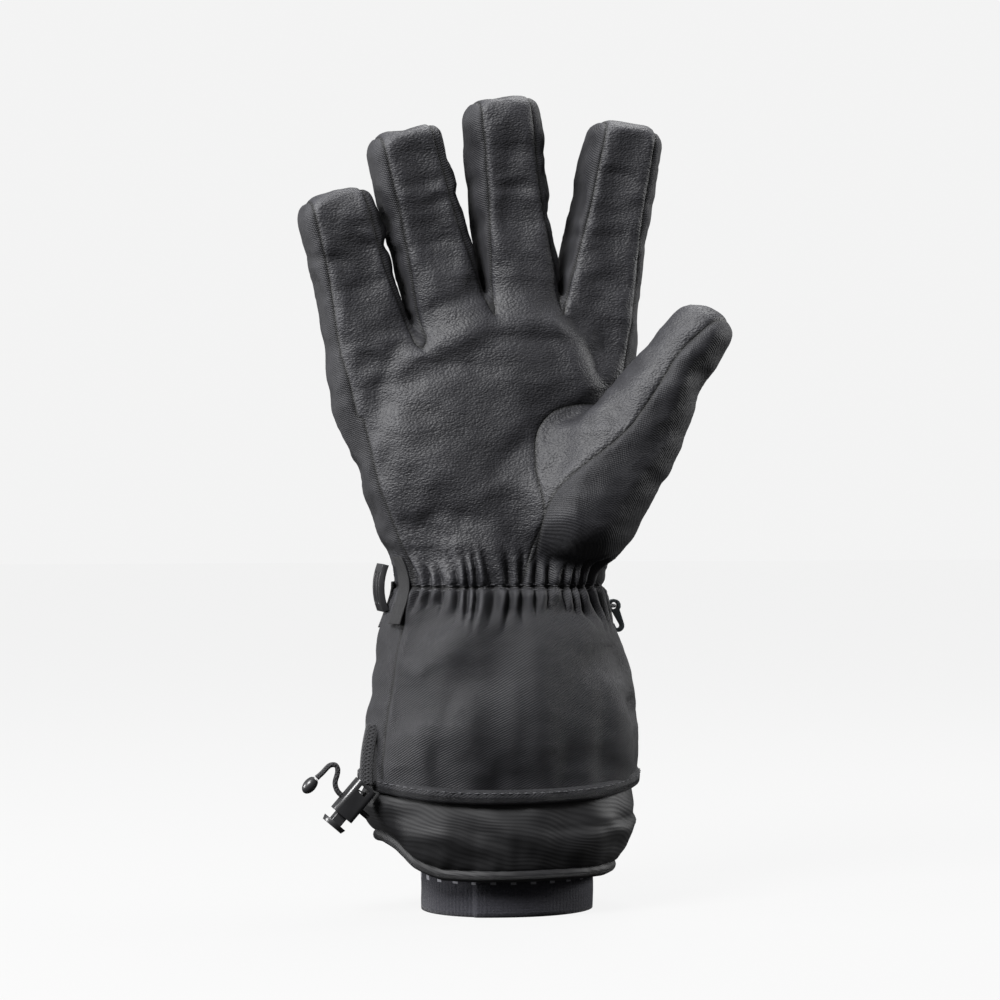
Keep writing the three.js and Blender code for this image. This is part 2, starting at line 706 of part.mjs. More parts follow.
function lockSpring() {
  const { length, top, stemLength, springRadius, wire, turns } = LOCK;
  const clear = 2 * wire;
  const low = stemFoot() + stemLength + clear;
  const high = length / 2 - top - clear;
  const coil = new THREE.Curve();
  coil.getPoint = (t, target = new THREE.Vector3()) => {
    const turn = 2 * Math.PI * turns * t;
    return target.set(springRadius * Math.cos(turn), springRadius * Math.sin(turn), lerp(low, high, t));
  };
  return bar(coil, wire, 10 * turns, 3);
}

// The cord's tail comes out of the lock, loops up and over, and ends in a moulded bead.
function cordTail() {
  const loop = [
    [9, 0],
    [3, 0],
    [-3, 0],
    [-7, 0],
    [-10, 1.8],
    [-12, 5.8],
    [-14, 7.4],
    [-16, 6],
    [-16.4, 1.6],
    [-17, -2.4],
  ];
  const points = loop.map(([x, z]) => new THREE.Vector3(x, 0, LOCK.holeZ + z));
  const curve = new THREE.CatmullRomCurve3(points, false, "centripetal");
  const end = curve.getPoint(1);
  const bead = new THREE.SphereGeometry(CORD_END.radius, 10, 8).scale(1, 1, CORD_END.stretch);
  bead.translate(end.x, end.y, end.z - CORD_END.radius);
  const clearance = new THREE.SphereGeometry(DRAW.cord + 0.4, 8, 6).translate(end.x, end.y, end.z);
  return [
    mesh("drawcord_tail", cut(bar(curve, DRAW.cord, 28, 3), clearance), ELASTIC),
    mesh("cord_end", cut(bead, clearance), PLASTIC),
  ];
}

function cordLock() {
  const lock = new THREE.Group();
  lock.add(
    mesh("cord_lock_body", lockBarrel(), PLASTIC),
    mesh("lock_button", lockButton(), PLASTIC),
    mesh("lock_spring", lockSpring(), STEEL),
    ...cordTail(),
  );
  lock.applyMatrix4(lockFrame());
  const foot = new THREE.Vector3(0, 0, LOCK.length / 2).applyMatrix4(lockFrame());
  const clear = foot.clone().sub(TETHER.top).setLength(1.2);
  const [w, t] = [TETHER.width / 2, TETHER.thick / 2];
  const strap = new THREE.Shape().moveTo(-t, -w).lineTo(t, -w).lineTo(t, w).lineTo(-t, w);
  const path = new THREE.LineCurve3(TETHER.top, foot.sub(clear));
  const tether = new THREE.ExtrudeGeometry(strap, { steps: 4, extrudePath: path });
  const group = new THREE.Group();
  group.add(lock, mesh("lock_tether", tether, WEBBING));
  return group;
}

// ---------- wrist strap, buckle, label and clip ----------

// A bowed plate with two slots for the strap.
function buckle() {
  const { height, depth, thick, bulge, slot, slotY } = BUCKLE;
  const edge = thick / 4;
  const side = new THREE.Shape();
  side.moveTo(0, -height / 2);
  side.quadraticCurveTo(-bulge, 0, 0, height / 2);
  side.lineTo(thick, height / 2 - edge);
  side.quadraticCurveTo(thick - bulge, 0, thick, -height / 2 + edge);
  side.closePath();
  const plate = new THREE.ExtrudeGeometry(side, { depth, bevelEnabled: false, curveSegments: 8 });
  plate.rotateX(Math.PI / 2).translate(0, depth / 2, 0);
  const slots = [-slotY, slotY].map((y) => block([4 * bulge, ...slot], [0, y, 0], thick / 8));
  const made = mesh("strap_buckle", cut(plate, ...slots), PLASTIC);
  made.position.copy(BUCKLE.at);
  return made;
}

// A flat J-shaped hook with an eye, which clips the glove to its pair.
function clip() {
  const { eye, hole, drop, inner, bar: width, thick } = CLIP;
  const centre = -inner - width / 2;
  const outer = inner + width;
  const outline = new THREE.Shape();
  outline.absarc(0, 0, eye, rad(-60), rad(240));
  outline.lineTo(-width / 2, -drop);
  outline.absarc(centre, -drop, inner, 0, -Math.PI, true);
  outline.lineTo(centre - inner, -drop + width);
  outline.lineTo(centre - outer, -drop + width);
  outline.absarc(centre, -drop, outer, Math.PI, 2 * Math.PI);
  outline.closePath();
  outline.holes.push(new THREE.Path().absarc(0, 0, hole, 0, 2 * Math.PI, true));
  const flat = new THREE.ExtrudeGeometry(outline, { depth: thick, bevelEnabled: false, curveSegments: 6 });
  flat.rotateX(Math.PI / 2).translate(0, thick / 2, 0);
  const made = mesh("clip_hook", flat, GREY_PLASTIC);
  made.position.copy(CLIP.at);
  made.rotation.y = rad(-CLIP.lean);
  return made;
}

// The cord loop that the hook's eye hangs on, with both ends at the gauntlet's seam.
function clipLoop() {
  const side = [
    [0, 0],
    [0, 1.7],
    [-1.8, 3.7],
    [-4.6, 4.4],
  ];
  const half = (sign) => side.map(([dx, dy]) => new THREE.Vector3(dx, sign * dy, 0).add(CLIP.at));
  const curve = new THREE.CatmullRomCurve3([...half(-1).reverse(), ...half(1).slice(1)]);
  return mesh("hook_loop", bar(curve, CLIP.loop, 14, 4), WEBBING);
}

function fittings() {
  const group = new THREE.Group();
  group.add(
    mesh("wrist_strap", wall(gauntletSkin, { ...STRAP, across: 16 }), WEBBING),
    mesh("side_label", wall(gauntletSkin, { ...LABEL, across: 2 }), WOVEN),
    buckle(),
    clip(),
    clipLoop(),
  );
  return group;
}

const pieces = new THREE.Group();
pieces.add(cuff(), fittings(), cordLock(), hand(), ...FINGERS.map(finger), thumb());
pieces.position.x = INNER_CUFF.wall / 2 - INNER_CUFF.halfWidth; // from the cuff's centre to its rim
const glove = new THREE.Group();
glove.add(pieces);

export default glove;
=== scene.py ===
"""Looks of an insulated ski glove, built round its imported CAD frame.

The outer shell is one distance field, made of the hand and gauntlet, four fingers and the thumb, all
measured from the CAD pieces. It is meshed, cut along its seams, given its folds, puffed by a cloth
simulation, and split into one piece for each panel and each bending zone. Skirt, cuff, binding, cords and
fittings are built on their own. Fields and shapes are in millimetres, and objects are made in metres.
"""

import json
import math

import bpy
import numpy as np
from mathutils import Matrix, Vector, bvhtree, kdtree, noise


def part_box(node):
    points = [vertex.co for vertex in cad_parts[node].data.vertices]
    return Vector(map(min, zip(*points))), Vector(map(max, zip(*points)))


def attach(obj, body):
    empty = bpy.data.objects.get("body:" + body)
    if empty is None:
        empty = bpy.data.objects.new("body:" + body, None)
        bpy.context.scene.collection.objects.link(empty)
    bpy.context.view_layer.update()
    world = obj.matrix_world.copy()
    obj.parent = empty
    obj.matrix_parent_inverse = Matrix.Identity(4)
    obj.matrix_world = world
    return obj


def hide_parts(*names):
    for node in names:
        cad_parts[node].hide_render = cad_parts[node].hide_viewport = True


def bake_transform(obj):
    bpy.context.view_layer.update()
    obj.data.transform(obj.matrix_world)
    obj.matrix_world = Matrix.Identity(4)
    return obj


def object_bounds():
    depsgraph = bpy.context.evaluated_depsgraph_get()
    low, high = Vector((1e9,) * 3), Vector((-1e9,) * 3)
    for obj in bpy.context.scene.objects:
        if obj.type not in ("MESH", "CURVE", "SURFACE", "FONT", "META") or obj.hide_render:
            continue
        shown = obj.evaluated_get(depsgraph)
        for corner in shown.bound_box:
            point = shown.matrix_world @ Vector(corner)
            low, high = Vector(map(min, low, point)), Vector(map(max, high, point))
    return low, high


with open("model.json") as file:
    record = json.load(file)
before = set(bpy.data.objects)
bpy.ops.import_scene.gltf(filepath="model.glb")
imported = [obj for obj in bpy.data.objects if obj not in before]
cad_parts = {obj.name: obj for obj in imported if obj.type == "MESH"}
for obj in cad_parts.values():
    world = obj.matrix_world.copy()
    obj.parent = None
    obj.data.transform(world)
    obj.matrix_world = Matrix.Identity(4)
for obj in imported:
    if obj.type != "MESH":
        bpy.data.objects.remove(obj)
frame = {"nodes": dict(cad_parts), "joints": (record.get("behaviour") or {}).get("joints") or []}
cad_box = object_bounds()

MM = 0.001
JOINTS = {joint["name"]: joint for joint in frame["joints"]}
FINGERS = ["little", "ring", "middle", "index"]

GRID = 1.5  # voxel of the shell's mesh
SHEET = 1.0  # thickness of a shell panel

# ---------- small maths ----------


def unit(vector):
    vector = np.asarray(vector, float)
    return vector / np.linalg.norm(vector)


def smoothstep(low, high, value):
    t = np.clip((value - low) / (high - low), 0, 1)
    return t * t * (3 - 2 * t)


def mix(a, b, share):
    return a + (b - a) * share


def bell(value, width):
    return np.exp(-((value / width) ** 2))


def soft_min(a, b, k):
    h = np.clip(0.5 + 0.5 * (b - a) / k, 0, 1)
    return mix(b, a, h) - k * h * (1 - h)


def soft_max(a, b, k):
    return -soft_min(-a, -b, k)


def section(x, y, half_width, half_depth, power):
    """1 on the edge of a rounded rectangle, less inside it and more outside."""
    return (np.abs(x / half_width) ** power + np.abs(y / half_depth) ** power) ** (1 / power)


def noise_at(points, size, seed=0.0):
    """Smooth noise, about -1 to 1, with features of a size in mm (one size, or one for each axis)."""
    scaled = np.asarray(points, float) / size + np.array([17.3, 5.1, 9.7]) * seed
    return np.array([noise.noise(Vector(p)) for p in scaled.tolist()])


def spline(places, values, at):
    """A smooth curve through values at places, level beyond its ends."""
    places, values = np.asarray(places, float), np.asarray(values, float)
    slopes = np.gradient(values, places)
    i = np.clip(np.searchsorted(places, at) - 1, 0, len(places) - 2)
    width = places[i + 1] - places[i]
    t = np.clip((at - places[i]) / width, 0, 1)
    return (
        values[i] * (2 * t**3 - 3 * t**2 + 1)
        + slopes[i] * width * (t**3 - 2 * t**2 + t)
        + values[i + 1] * (3 * t**2 - 2 * t**3)
        + slopes[i + 1] * width * (t**3 - t**2)
    )


def degrees_from(start, angle):
    """The shorter way round from one angle to another, -180 to 180 degrees."""
    return (angle - start + 180) % 360 - 180


def around_trip(values, angle):
    """The smooth value, at an angle in degrees, of a list that runs once round at even angles."""
    count = len(values)
    wrapped = np.concatenate([values[-2:], values, values[:3]])
    places = np.arange(-2, count + 3) * 360 / count
    return spline(places, wrapped, np.asarray(angle, float) % 360)


# ---------- reading the frame ----------


def joint_point(name):
    return np.array(JOINTS[name]["pos_m"], float) / MM


def mesh_points(mesh):
    flat = np.empty(len(mesh.vertices) * 3)
    mesh.vertices.foreach_get("co", flat)
    return flat.reshape(-1, 3) / MM


def node_points(name):
    return mesh_points(frame["nodes"][name].data)


def node_box(name):
    low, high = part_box(name)
    return np.array(low) / MM, np.array(high) / MM


def node_slice(z, *names):
    """Centre x, half width and depth of CAD nodes where they cross a height."""
    found = []
    for name in names:
        mesh = frame["nodes"][name].data
        co = mesh_points(mesh)
        pairs = np.empty(len(mesh.edges) * 2, int)
        mesh.edges.foreach_get("vertices", pairs)
        a, b = co[pairs[0::2]], co[pairs[1::2]]
        crossing = (a[:, 2] - z) * (b[:, 2] - z) < 0
        a, b = a[crossing], b[crossing]
        share = ((z - a[:, 2]) / (b[:, 2] - a[:, 2]))[:, None]
        found.append(mix(a, b, share))
    cut = np.concatenate(found)
    low, high = cut.min(0), cut.max(0)
    return (low[0] + high[0]) / 2, (high[0] - low[0]) / 2, high[1]


def node_ring(name, bins=24):
    """A ring-shaped CAD node as (centre x, radii, heights), at even angles round its centre."""
    co = node_points(name)
    centre = (co[:, 0].min() + co[:, 0].max()) / 2
    angle = np.degrees(np.arctan2(co[:, 1], co[:, 0] - centre))
    radius = np.hypot(co[:, 0] - centre, co[:, 1])
    width = 360 / bins
    radii, heights = [], []
    for i in range(bins):
        near = np.abs(degrees_from(i * width, angle)) < width
        radii.append((radius[near].min() + radius[near].max()) / 2)
        heights.append((co[near, 2].min() + co[near, 2].max()) / 2)
    return centre, np.array(radii), np.array(heights)


# ---------- the shell's fields ----------


class Stall:
    """A finger's or the thumb's padded tube, in its own frame: v < 0 is its palm side, s runs to the tip."""

    square = 3.4  # how box-like its section is
    round_tip = 3.3  # how box-like its ends are
    full = (1.13, 1.06)  # how much wider and deeper than the CAD stall it is, at its knuckle and at its tip
    foot = 22  # the length over which it closes below its knuckle
    grow = (-1, -4)  # how much wider and deeper it gets below its knuckle, in mm
    lean = 0  # how far its middle line has moved sideways at the end of its root
    tip_lean = 0  # and at its tip
    root = 34  # how far it runs on below its knuckle, into the hand

    def __init__(self, name):
        self.name = name
        self.knuckle = joint_point(f"{name}_knuckle")
        middle = joint_point(f"{name}_middle_joint")
        bend = JOINTS[f"{name}_knuckle"]
        low, high = bend["range_deg"]
        self.x = unit(bend["axis"]) * (1 if high > -low else -1)
        self.z = unit(middle - self.knuckle)
        self.y = np.cross(self.z, self.x)
        self.middle = np.linalg.norm(middle - self.knuckle)
        lower = self.to_local(node_points(f"{name}_lower_fabric"))
        upper = self.to_local(node_points(f"{name}_tip_fabric"))
        cap = self.to_local(node_points(f"{name}_tip_leather"))
        end = cap[cap[:, 2].argmax()]
        self.length = end[2]
        self.drop = end[1]
        far = upper[upper[:, 2] > self.middle + 0.5 * (upper[:, 2].max() - self.middle)]
        self.half = np.array([np.abs(lower[:, 0]).max(), lower[:, 1].max()])
        self.tip_half = np.array([np.abs(far[:, 0]).max(), (far[:, 1] - self.sag(far[:, 2])).max()])
        self.half = self.half * self.full[0]
        self.tip_half = self.tip_half * self.full[1]
        self.dome = self.tip_half.min() * 0.95

    def to_local(self, points):
        return (points - self.knuckle) @ np.array([self.x, self.y, self.z]).T

    def to_row(self, u, v, s):
        return self.knuckle + u * self.x + v * self.y + s * self.z

    def sag(self, s):
        """How far the relaxed stall's middle line has dropped towards the palm."""
        return self.drop * np.clip((s - self.middle) / (self.length - self.middle), 0, 1.2) ** 1.25

    def coords(self, points):
        u, v, s = self.to_local(points).T
        below, above = np.clip(-s / self.root, 0, 1), np.clip(s / self.length, 0, 1.1)
        return u - self.lean * below - self.tip_lean * above**2, v - self.sag(s), s

    def sizes(self, s):
        share = np.clip(s / self.length, 0, 1)
        swell = np.sin(np.clip(-s / self.root, 0, 1) * math.pi / 2)
        return [mix(self.half[k], self.tip_half[k], share) + self.grow[k] * swell for k in (0, 1)]

    def field(self, points):
        u, v, s = self.coords(points)
        wide, deep = self.sizes(s)
        around = section(u, v, wide, deep, self.square)
        over = np.clip((s - self.length + self.dome) / self.dome, 0, None)
        under = np.clip((self.foot - self.root - s) / self.foot, 0, None)
        power = self.round_tip
        reach = (around**power + over**power + under**power) ** (1 / power)
        return (reach - 1) * np.minimum(wide, deep)


class Thumb(Stall):
    """The thumb's tube runs on below its knuckle as the mound that is sewn into the palm."""

    square = 2.6
    round_tip = 2.3
    full = (1.1, 0.83)
    grow = (6, 7)
    lean = -6
    tip_lean = 3.5
    root = 58


stalls = [Stall(name) for name in FINGERS]
thumb = Thumb("thumb")

GAUNTLET_NODES = ("gauntlet_palm_panel", "gauntlet_back_panel", "gauntlet_side_strip")
HAND_NODES = ("palm_panel", "back_panel", "ulnar_side_panel")
WRIST_Z = joint_point("wrist_flex")[2]
WAIST_Z = (node_box("wrist_elastic")[0][2] + node_box("wrist_elastic")[1][2]) / 2
STITCH_Z = WAIST_Z + 1.5  # the double row of stitches between hand and gauntlet
CUFF_X = node_slice(3, "inner_cuff")[0]  # the cuff's centre
HEM = node_ring("hem_binding")

# Slices keep clear of the bevels at the wrist and the knuckles.
SLICES = [(z, *node_slice(z, *GAUNTLET_NODES)) for z in (58, 66, 80, 95, 108, 118, 127)]
SLICES += [(z, *node_slice(z, *HAND_NODES)) for z in (154, 168, 182, 196, 208, 216)]
SLICES = np.array(SLICES).T

BODY_SQUARE = (2.3, 2.8)  # how box-like the section is, at the gauntlet and at the hand
FINGER_BLEND = 9  # the size of the hollow where a finger grows out of the hand
THUMB_BLENDS = (12, 4)  # the same for the thumb, at its root and at its crotch
CROTCH_ROUND = 12  # how softly the hand's top edge rounds off between the fingers
SLIT = 0.8  # half the gap kept between neighbouring fingers


def body_at(z):
    """Centre x, half width, half depth and squareness of the hand and gauntlet at a height."""
    centre, wide, deep = (spline(SLICES[0], column, z) for column in SLICES[1:])
    return centre, wide, deep, mix(*BODY_SQUARE, smoothstep(WAIST_Z, WRIST_Z + 30, z))


def crotch_points():
    """x and height of the saddle between each two fingers, with the outer knuckles at the ends."""
    webs = [node_box(f"fourchette_{a}_{b}") for a, b in zip(FINGERS, FINGERS[1:])]
    saddles = [((low[0] + high[0]) / 2, high[2]) for low, high in webs]
    first, last = stalls[0], stalls[-1]
    outer = [first.to_row(-first.half[0], 0, -3), last.to_row(last.half[0], 0, -3)]
    return [(outer[0][0], outer[0][2]), *saddles, (outer[1][0], outer[1][2])]


CROTCHES = crotch_points()


def crotch_height(x):
    return np.interp(x, *zip(*CROTCHES))


def body_field(points):
    x, y, z = points.T
    centre, wide, deep, power = body_at(z)
    around = (section(x - centre, y, wide, deep, power) - 1) * np.minimum(wide, deep)
    return soft_max(around, z - crotch_height(x), CROTCH_ROUND)


def shell_field(points):
    """Roughly the distance to the outer shell: negative inside."""
    fingers = [stall.field(points) for stall in stalls]
    joined = np.minimum.reduce(fingers)
    z = points[:, 2]
    for (_, height), left, right in zip(CROTCHES[1:-1], fingers, fingers[1:]):
        cut = SLIT - np.abs(left - right) / 2
        joined = soft_max(joined, np.minimum(cut, z - height + 1), 1.5)
    shell = soft_min(body_field(points), joined, FINGER_BLEND)
    blend = mix(*THUMB_BLENDS, smoothstep(-25, 5, thumb.coords(points)[2]))
    return soft_min(shell, thumb.field(points), blend)


# ---------- meshing ----------


def sides_of(face):
    """A face's edges, as pairs of vertices in its own direction."""
    return zip(face, (*face[1:], face[0]))


def middles_of(points, faces):
    return np.array([points[list(face)].mean(0) for face in faces])


def renumbered(faces):
    """The vertices that faces use, and the faces with those vertices numbered from 0."""
    used = sorted({i for face in faces for i in face})
    number = {i: k for k, i in enumerate(used)}
    return used, [tuple(number[i] for i in face) for face in faces]


def rim_of(faces):
    """The directed edges that only one face uses."""
    used = {edge: True for face in faces for edge in sides_of(face)}
    return [(a, b) for a, b in used if (b, a) not in used]


def two_layers(faces, count):
    """Faces of a sheet and of its inner layer, whose vertices are numbered count higher, and of the rim."""
    inside = [tuple(i + count for i in reversed(face)) for face in faces]
    rim = [(b, a, a + count, b + count) for a, b in rim_of(faces)]
    return faces + inside, rim


def surface_net(field, low, high, step):
    """Quads on the zero surface of a field, with one vertex for each cell that the surface crosses."""
    axes = [np.arange(a, b + step, step) for a, b in zip(low, high)]
    grid = np.stack(np.meshgrid(*axes, indexing="ij"), -1)
    shape = grid.shape[:3]
    values = np.empty(shape)
    for i in range(shape[0]):
        values[i] = field(grid[i].reshape(-1, 3)).reshape(shape[1:])
    cells = tuple(n - 1 for n in shape)
    total = np.zeros(cells + (3,))
    count = np.zeros(cells)
    crossings = []
    for axis in range(3):
        others = [k for k in range(3) if k != axis]
        near, far = [slice(None)] * 3, [slice(None)] * 3
        near[axis], far[axis] = slice(0, -1), slice(1, None)
        a, b = values[tuple(near)], values[tuple(far)]
        crossed = (a < 0) != (b < 0)
        share = np.where(crossed, a / np.where(crossed, a - b, 1), 0)
        crossings.append((crossed, a < 0))
        for da, db in ((0, 0), (0, 1), (1, 0), (1, 1)):
            pick = [slice(None)] * 3
            pick[others[0]] = slice(da, cells[others[0]] + da)
            pick[others[1]] = slice(db, cells[others[1]] + db)
            here = crossed[tuple(pick)]
            count += here
            total[..., axis] += np.where(here, share[tuple(pick)], 0)
            total[..., others[0]] += here * da
            total[..., others[1]] += here * db
    used = count > 0
    index = np.full(cells, -1)
    index[used] = np.arange(used.sum())
    points = np.array(low) + step * (np.argwhere(used) + total[used] / count[used][:, None])
    # The four cells round a grid edge along each axis, in the order that turns a face outwards.
    ring = {
        0: ((0, -1, -1), (0, 0, -1), (0, 0, 0), (0, -1, 0)),
        1: ((-1, 0, -1), (-1, 0, 0), (0, 0, 0), (0, 0, -1)),
        2: ((-1, -1, 0), (0, -1, 0), (0, 0, 0), (-1, 0, 0)),
    }
    faces = []
    for axis, (crossed, inside) in enumerate(crossings):
        edge = np.argwhere(crossed)
        keep = np.ones(len(edge), bool)
        for k in range(3):
            if k != axis:
                keep &= (edge[:, k] > 0) & (edge[:, k] < cells[k])
        edge = edge[keep]
        quad = np.stack([index[tuple((edge + np.array(go)).T)] for go in ring[axis]], 1)
        flip = ~inside[tuple(edge.T)]
        quad[flip] = quad[flip][:, ::-1]
        faces.append(quad)
    return points, np.concatenate(faces)


def onto_surface(field, points, rounds=2, reach=0.3):
    """Moves points down the field's slope to its zero surface."""
    for _ in range(rounds):
        steps = np.eye(3) * reach
        slope = np.stack([field(points + d) - field(points - d) for d in steps], 1) / (2 * reach)
        square = np.maximum((slope**2).sum(1), 0.05)
        move = (field(points) / square)[:, None] * slope
        points = points - np.clip(move, -GRID, GRID)
    return points


def triangles(faces):
    """Triangles of a list of faces, and the face that each comes from."""
    fans, owners = [], []
    for i, face in enumerate(faces):
        for k in range(1, len(face) - 1):
            fans.append((face[0], face[k], face[k + 1]))
            owners.append(i)
    return np.array(fans), np.array(owners)


def gather(index, values, size):
    """Sums of rows of values, by index."""
    return np.stack([np.bincount(index, values[:, k], size) for k in range(3)], 1)


def vertex_normals(points, fans):
    a, b, c = (points[fans[:, k]] for k in range(3))
    normal = np.cross(b - a, c - a)
    total = sum(gather(fans[:, k], normal, len(points)) for k in range(3))
    return total / np.maximum(np.linalg.norm(total, axis=1), 1e-9)[:, None]


def relaxed(values, pairs, rounds, share=0.5):
    """Values on vertices, evened out along edges."""
    degree = np.maximum(np.bincount(pairs[:, 0], minlength=len(values)), 1)[:, None]
    for _ in range(rounds):
        values = values + share * (gather(pairs[:, 0], values[pairs[:, 1]], len(values)) / degree - values)
    return values


def edges_of(faces):
    """The edges of faces, each in both directions."""
    pairs = []
    for face in faces:
        pairs.extend(sides_of(face))
    pairs = np.array(pairs)
    return np.unique(np.concatenate([pairs, pairs[:, ::-1]]), axis=0)


def refined(points, faces, chosen):
    """Splits chosen faces in four. Their neighbours take the new points on shared edges."""
    made, extra = {}, []

    def added(point):
        extra.append(point)
        return len(points) + len(extra) - 1

    out = [face for face, pick in zip(faces, chosen) if not pick]
    for face in (face for face, pick in zip(faces, chosen) if pick):
        middles = []
        for a, b in sides_of(face):
            key = (min(a, b), max(a, b))
            if key not in made:
                made[key] = added((points[a] + points[b]) / 2)
            middles.append(made[key])
        centre = added(points[list(face)].mean(0))
        for k, corner in enumerate(face):
            out.append((corner, middles[k], centre, middles[k - 1]))
    untouched = len(faces) - int(chosen.sum())
    out[:untouched] = [with_cuts(face, made) for face in out[:untouched]]
    return np.concatenate([points, np.array(extra)]), out


def evened_net(field, foot, step, rounds):
    """Points and faces of a field's surface above a height, with its steps evened out."""
    around = 10  # the room that it has round the CAD's box
    low = np.array(cad_box[0]) / MM - around
    high = np.array(cad_box[1]) / MM + around
    low[2] = foot
    points, quads = surface_net(field, low, high, step)
    faces = [tuple(face) for face in quads.tolist()]
    return relaxed(points, edges_of(faces), rounds), faces


def shell_net(step):
    points, faces = evened_net(shell_field, HEM[2].min() - 3 * step, step, 2)
    return onto_surface(shell_field, points), faces


def cut_along(points, faces, value):
    """Cuts faces where a field changes sign. Gives points, faces, their sides (+1, -1) and the edges cut."""
    points, value = points.copy(), value.copy()
    near = 0.2  # a vertex nearer to the line than this share of its edge moves onto it
    for face in faces:
        for a, b in sides_of(face):
            if value[a] * value[b] < 0:
                share = value[a] / (value[a] - value[b])
                if share < near:
                    points[a] += (points[b] - points[a]) * share
                    value[a] = 0
                elif share > 1 - near:
                    points[b] += (points[a] - points[b]) * (1 - share)
                    value[b] = 0
    made, extra = {}, []

    def crossing(a, b):
        key = (min(a, b), max(a, b))
        if key not in made:
            share = value[key[0]] / (value[key[0]] - value[key[1]])
            made[key] = len(points) + len(extra)
            extra.append(mix(points[key[0]], points[key[1]], share))
        return made[key]

    out, sides = [], []
    for face in faces:
        signs = [np.sign(value[i]) for i in face]
        if min(signs) >= 0 or max(signs) <= 0:
            out.append(tuple(face))
            sides.append(1 if sum(signs) > 0 else -1)
            continue
        above, below = [], []
        for k, a in enumerate(face):
            following = (k + 1) % len(face)
            if signs[k] >= 0:
                above.append(a)
            if signs[k] <= 0:
                below.append(a)
            if signs[k] * signs[following] < 0:
                new = crossing(a, face[following])
                above.append(new)
                below.append(new)
        for loop, side in ((above, 1), (below, -1)):
            if len(loop) >= 3:
                out.append(tuple(loop))
                sides.append(side)
    if extra:
        points = np.concatenate([points, np.array(extra)])
    return points, out, np.array(sides), made


def with_cuts(face, made):
    """A neighbour's face with the points that a cut has put on its edges."""
    loop = []
    for a, b in sides_of(face):
        loop.append(a)
        middle = made.get((min(a, b), max(a, b)))
        if middle is not None:
            loop.append(middle)
    return tuple(loop)


# ---------- seams ----------

LEATHER_SHARE = (0.86, 0.7)  # a finger's leather strip, as a share of its width at the foot and the tip
PALM_SHARES = (0.9, 0.93)  # the palm's two side seams, as shares of the hand's half width
NAIL_DROP = 13  # the leather runs over the fingertip and this far down its back
PLEATS_REACH = 24  # how far the wrist's pleats run up and down from its stitches
STRIP_FOOT = 26  # the finger strips run this far below the crotches, into the palm and back
PALM_TOP, BACK_TOP = 6.5, 3  # how far below the crotches the palm and the back end between the fingers
SEAM_ROUND = 6  # how softly a finger's seams turn into the hand's
GAUNTLET_SEAMS = (12, 163, 207)  # degrees round the section: thumb side, back strip, palm strip
CUFF_RADIUS = 45  # the gauntlet's mean radius, which turns its angles into lengths
WRIST_RADIUS = 38

# The thumb's ridge seam as (s, u) in its own frame, and its palm seam as (height, x from the cuff's centre).
RIDGE = np.array(
    [(-64, 5), (-48, 2), (-34, 0.3), (-22, 2.6), (-8, 5.7), (8, 6.5), (22, 5.6), (32, 4.5), (46, 6)]
)
GUSSET = np.array([(118, -3), (138, 3), (156, 7.8), (178, 6), (192, 9), (214, 36), (226, 47)])


def finger_strip(stall, points, front):
    """Positive on a finger's leather strip (front) or its back panel, in mm from the seam."""
    u, v, s = stall.coords(points)
    share = mix(*LEATHER_SHARE, smoothstep(-5, 0.6 * stall.length, s))
    strip = share * stall.sizes(s)[0] - np.abs(u)
    if front:
        return np.minimum(strip, np.maximum(s - (stall.length - NAIL_DROP), -v))
    return np.minimum(strip, v)


def hand_field(points, front):
    """Positive on the palm (front) or the back of the hand, with its strips up the fingers."""
    x, y, z = points.T
    centre, wide, _, _ = body_at(z)
    sides = np.minimum(x - centre + PALM_SHARES[0] * wide, centre + PALM_SHARES[1] * wide - x)
    top = crotch_height(x) - (PALM_TOP if front else BACK_TOP) - z
    palm = np.minimum(np.minimum(sides, top), -y if front else y)
    strips = np.array([finger_strip(stall, points, front) for stall in stalls])
    nearest = np.array([stall.field(points) for stall in stalls]).argmin(0)
    own = strips[nearest, np.arange(len(points))]
    outside = -9  # any length well outside the strips
    return soft_max(np.where(z > crotch_height(x) - STRIP_FOOT, own, outside), palm, SEAM_ROUND)


def thumb_side(points):
    """Positive on the thumb's panels: past its palm seam and, higher up, nearer to it than to the hand."""
    x, y, z = points.T
    beyond = np.minimum(x - CUFF_X - spline(*GUSSET.T, z), 3 - y)
    others = np.minimum.reduce([body_field(points)] + [stall.field(points) for stall in stalls])
    away = others - thumb.field(points)
    s = thumb.coords(points)[2]
    return mix(beyond, away, smoothstep(-14, 2, s))


def thumb_leather(points):
    u, v, s = thumb.coords(points)
    ridge = spline(*RIDGE.T, s) - u
    return np.minimum(ridge, 0.35 * thumb.sizes(s)[1] - v)


def gauntlet_angle(points):
    x, y, z = points.T
    centre, wide, deep, _ = body_at(z)
    return np.degrees(np.arctan2(y / deep, (x - centre) / wide)) % 360


def inside_arc(points, start, end):
    """Positive between two angles round the gauntlet."""
    away = degrees_from((start + end) / 2, gauntlet_angle(points))
    return (end - start) / 2 - np.abs(away)


def above_hem(points):
    angle = np.degrees(np.arctan2(points[:, 1], points[:, 0] - HEM[0]))
    return points[:, 2] - around_trip(HEM[2], angle)


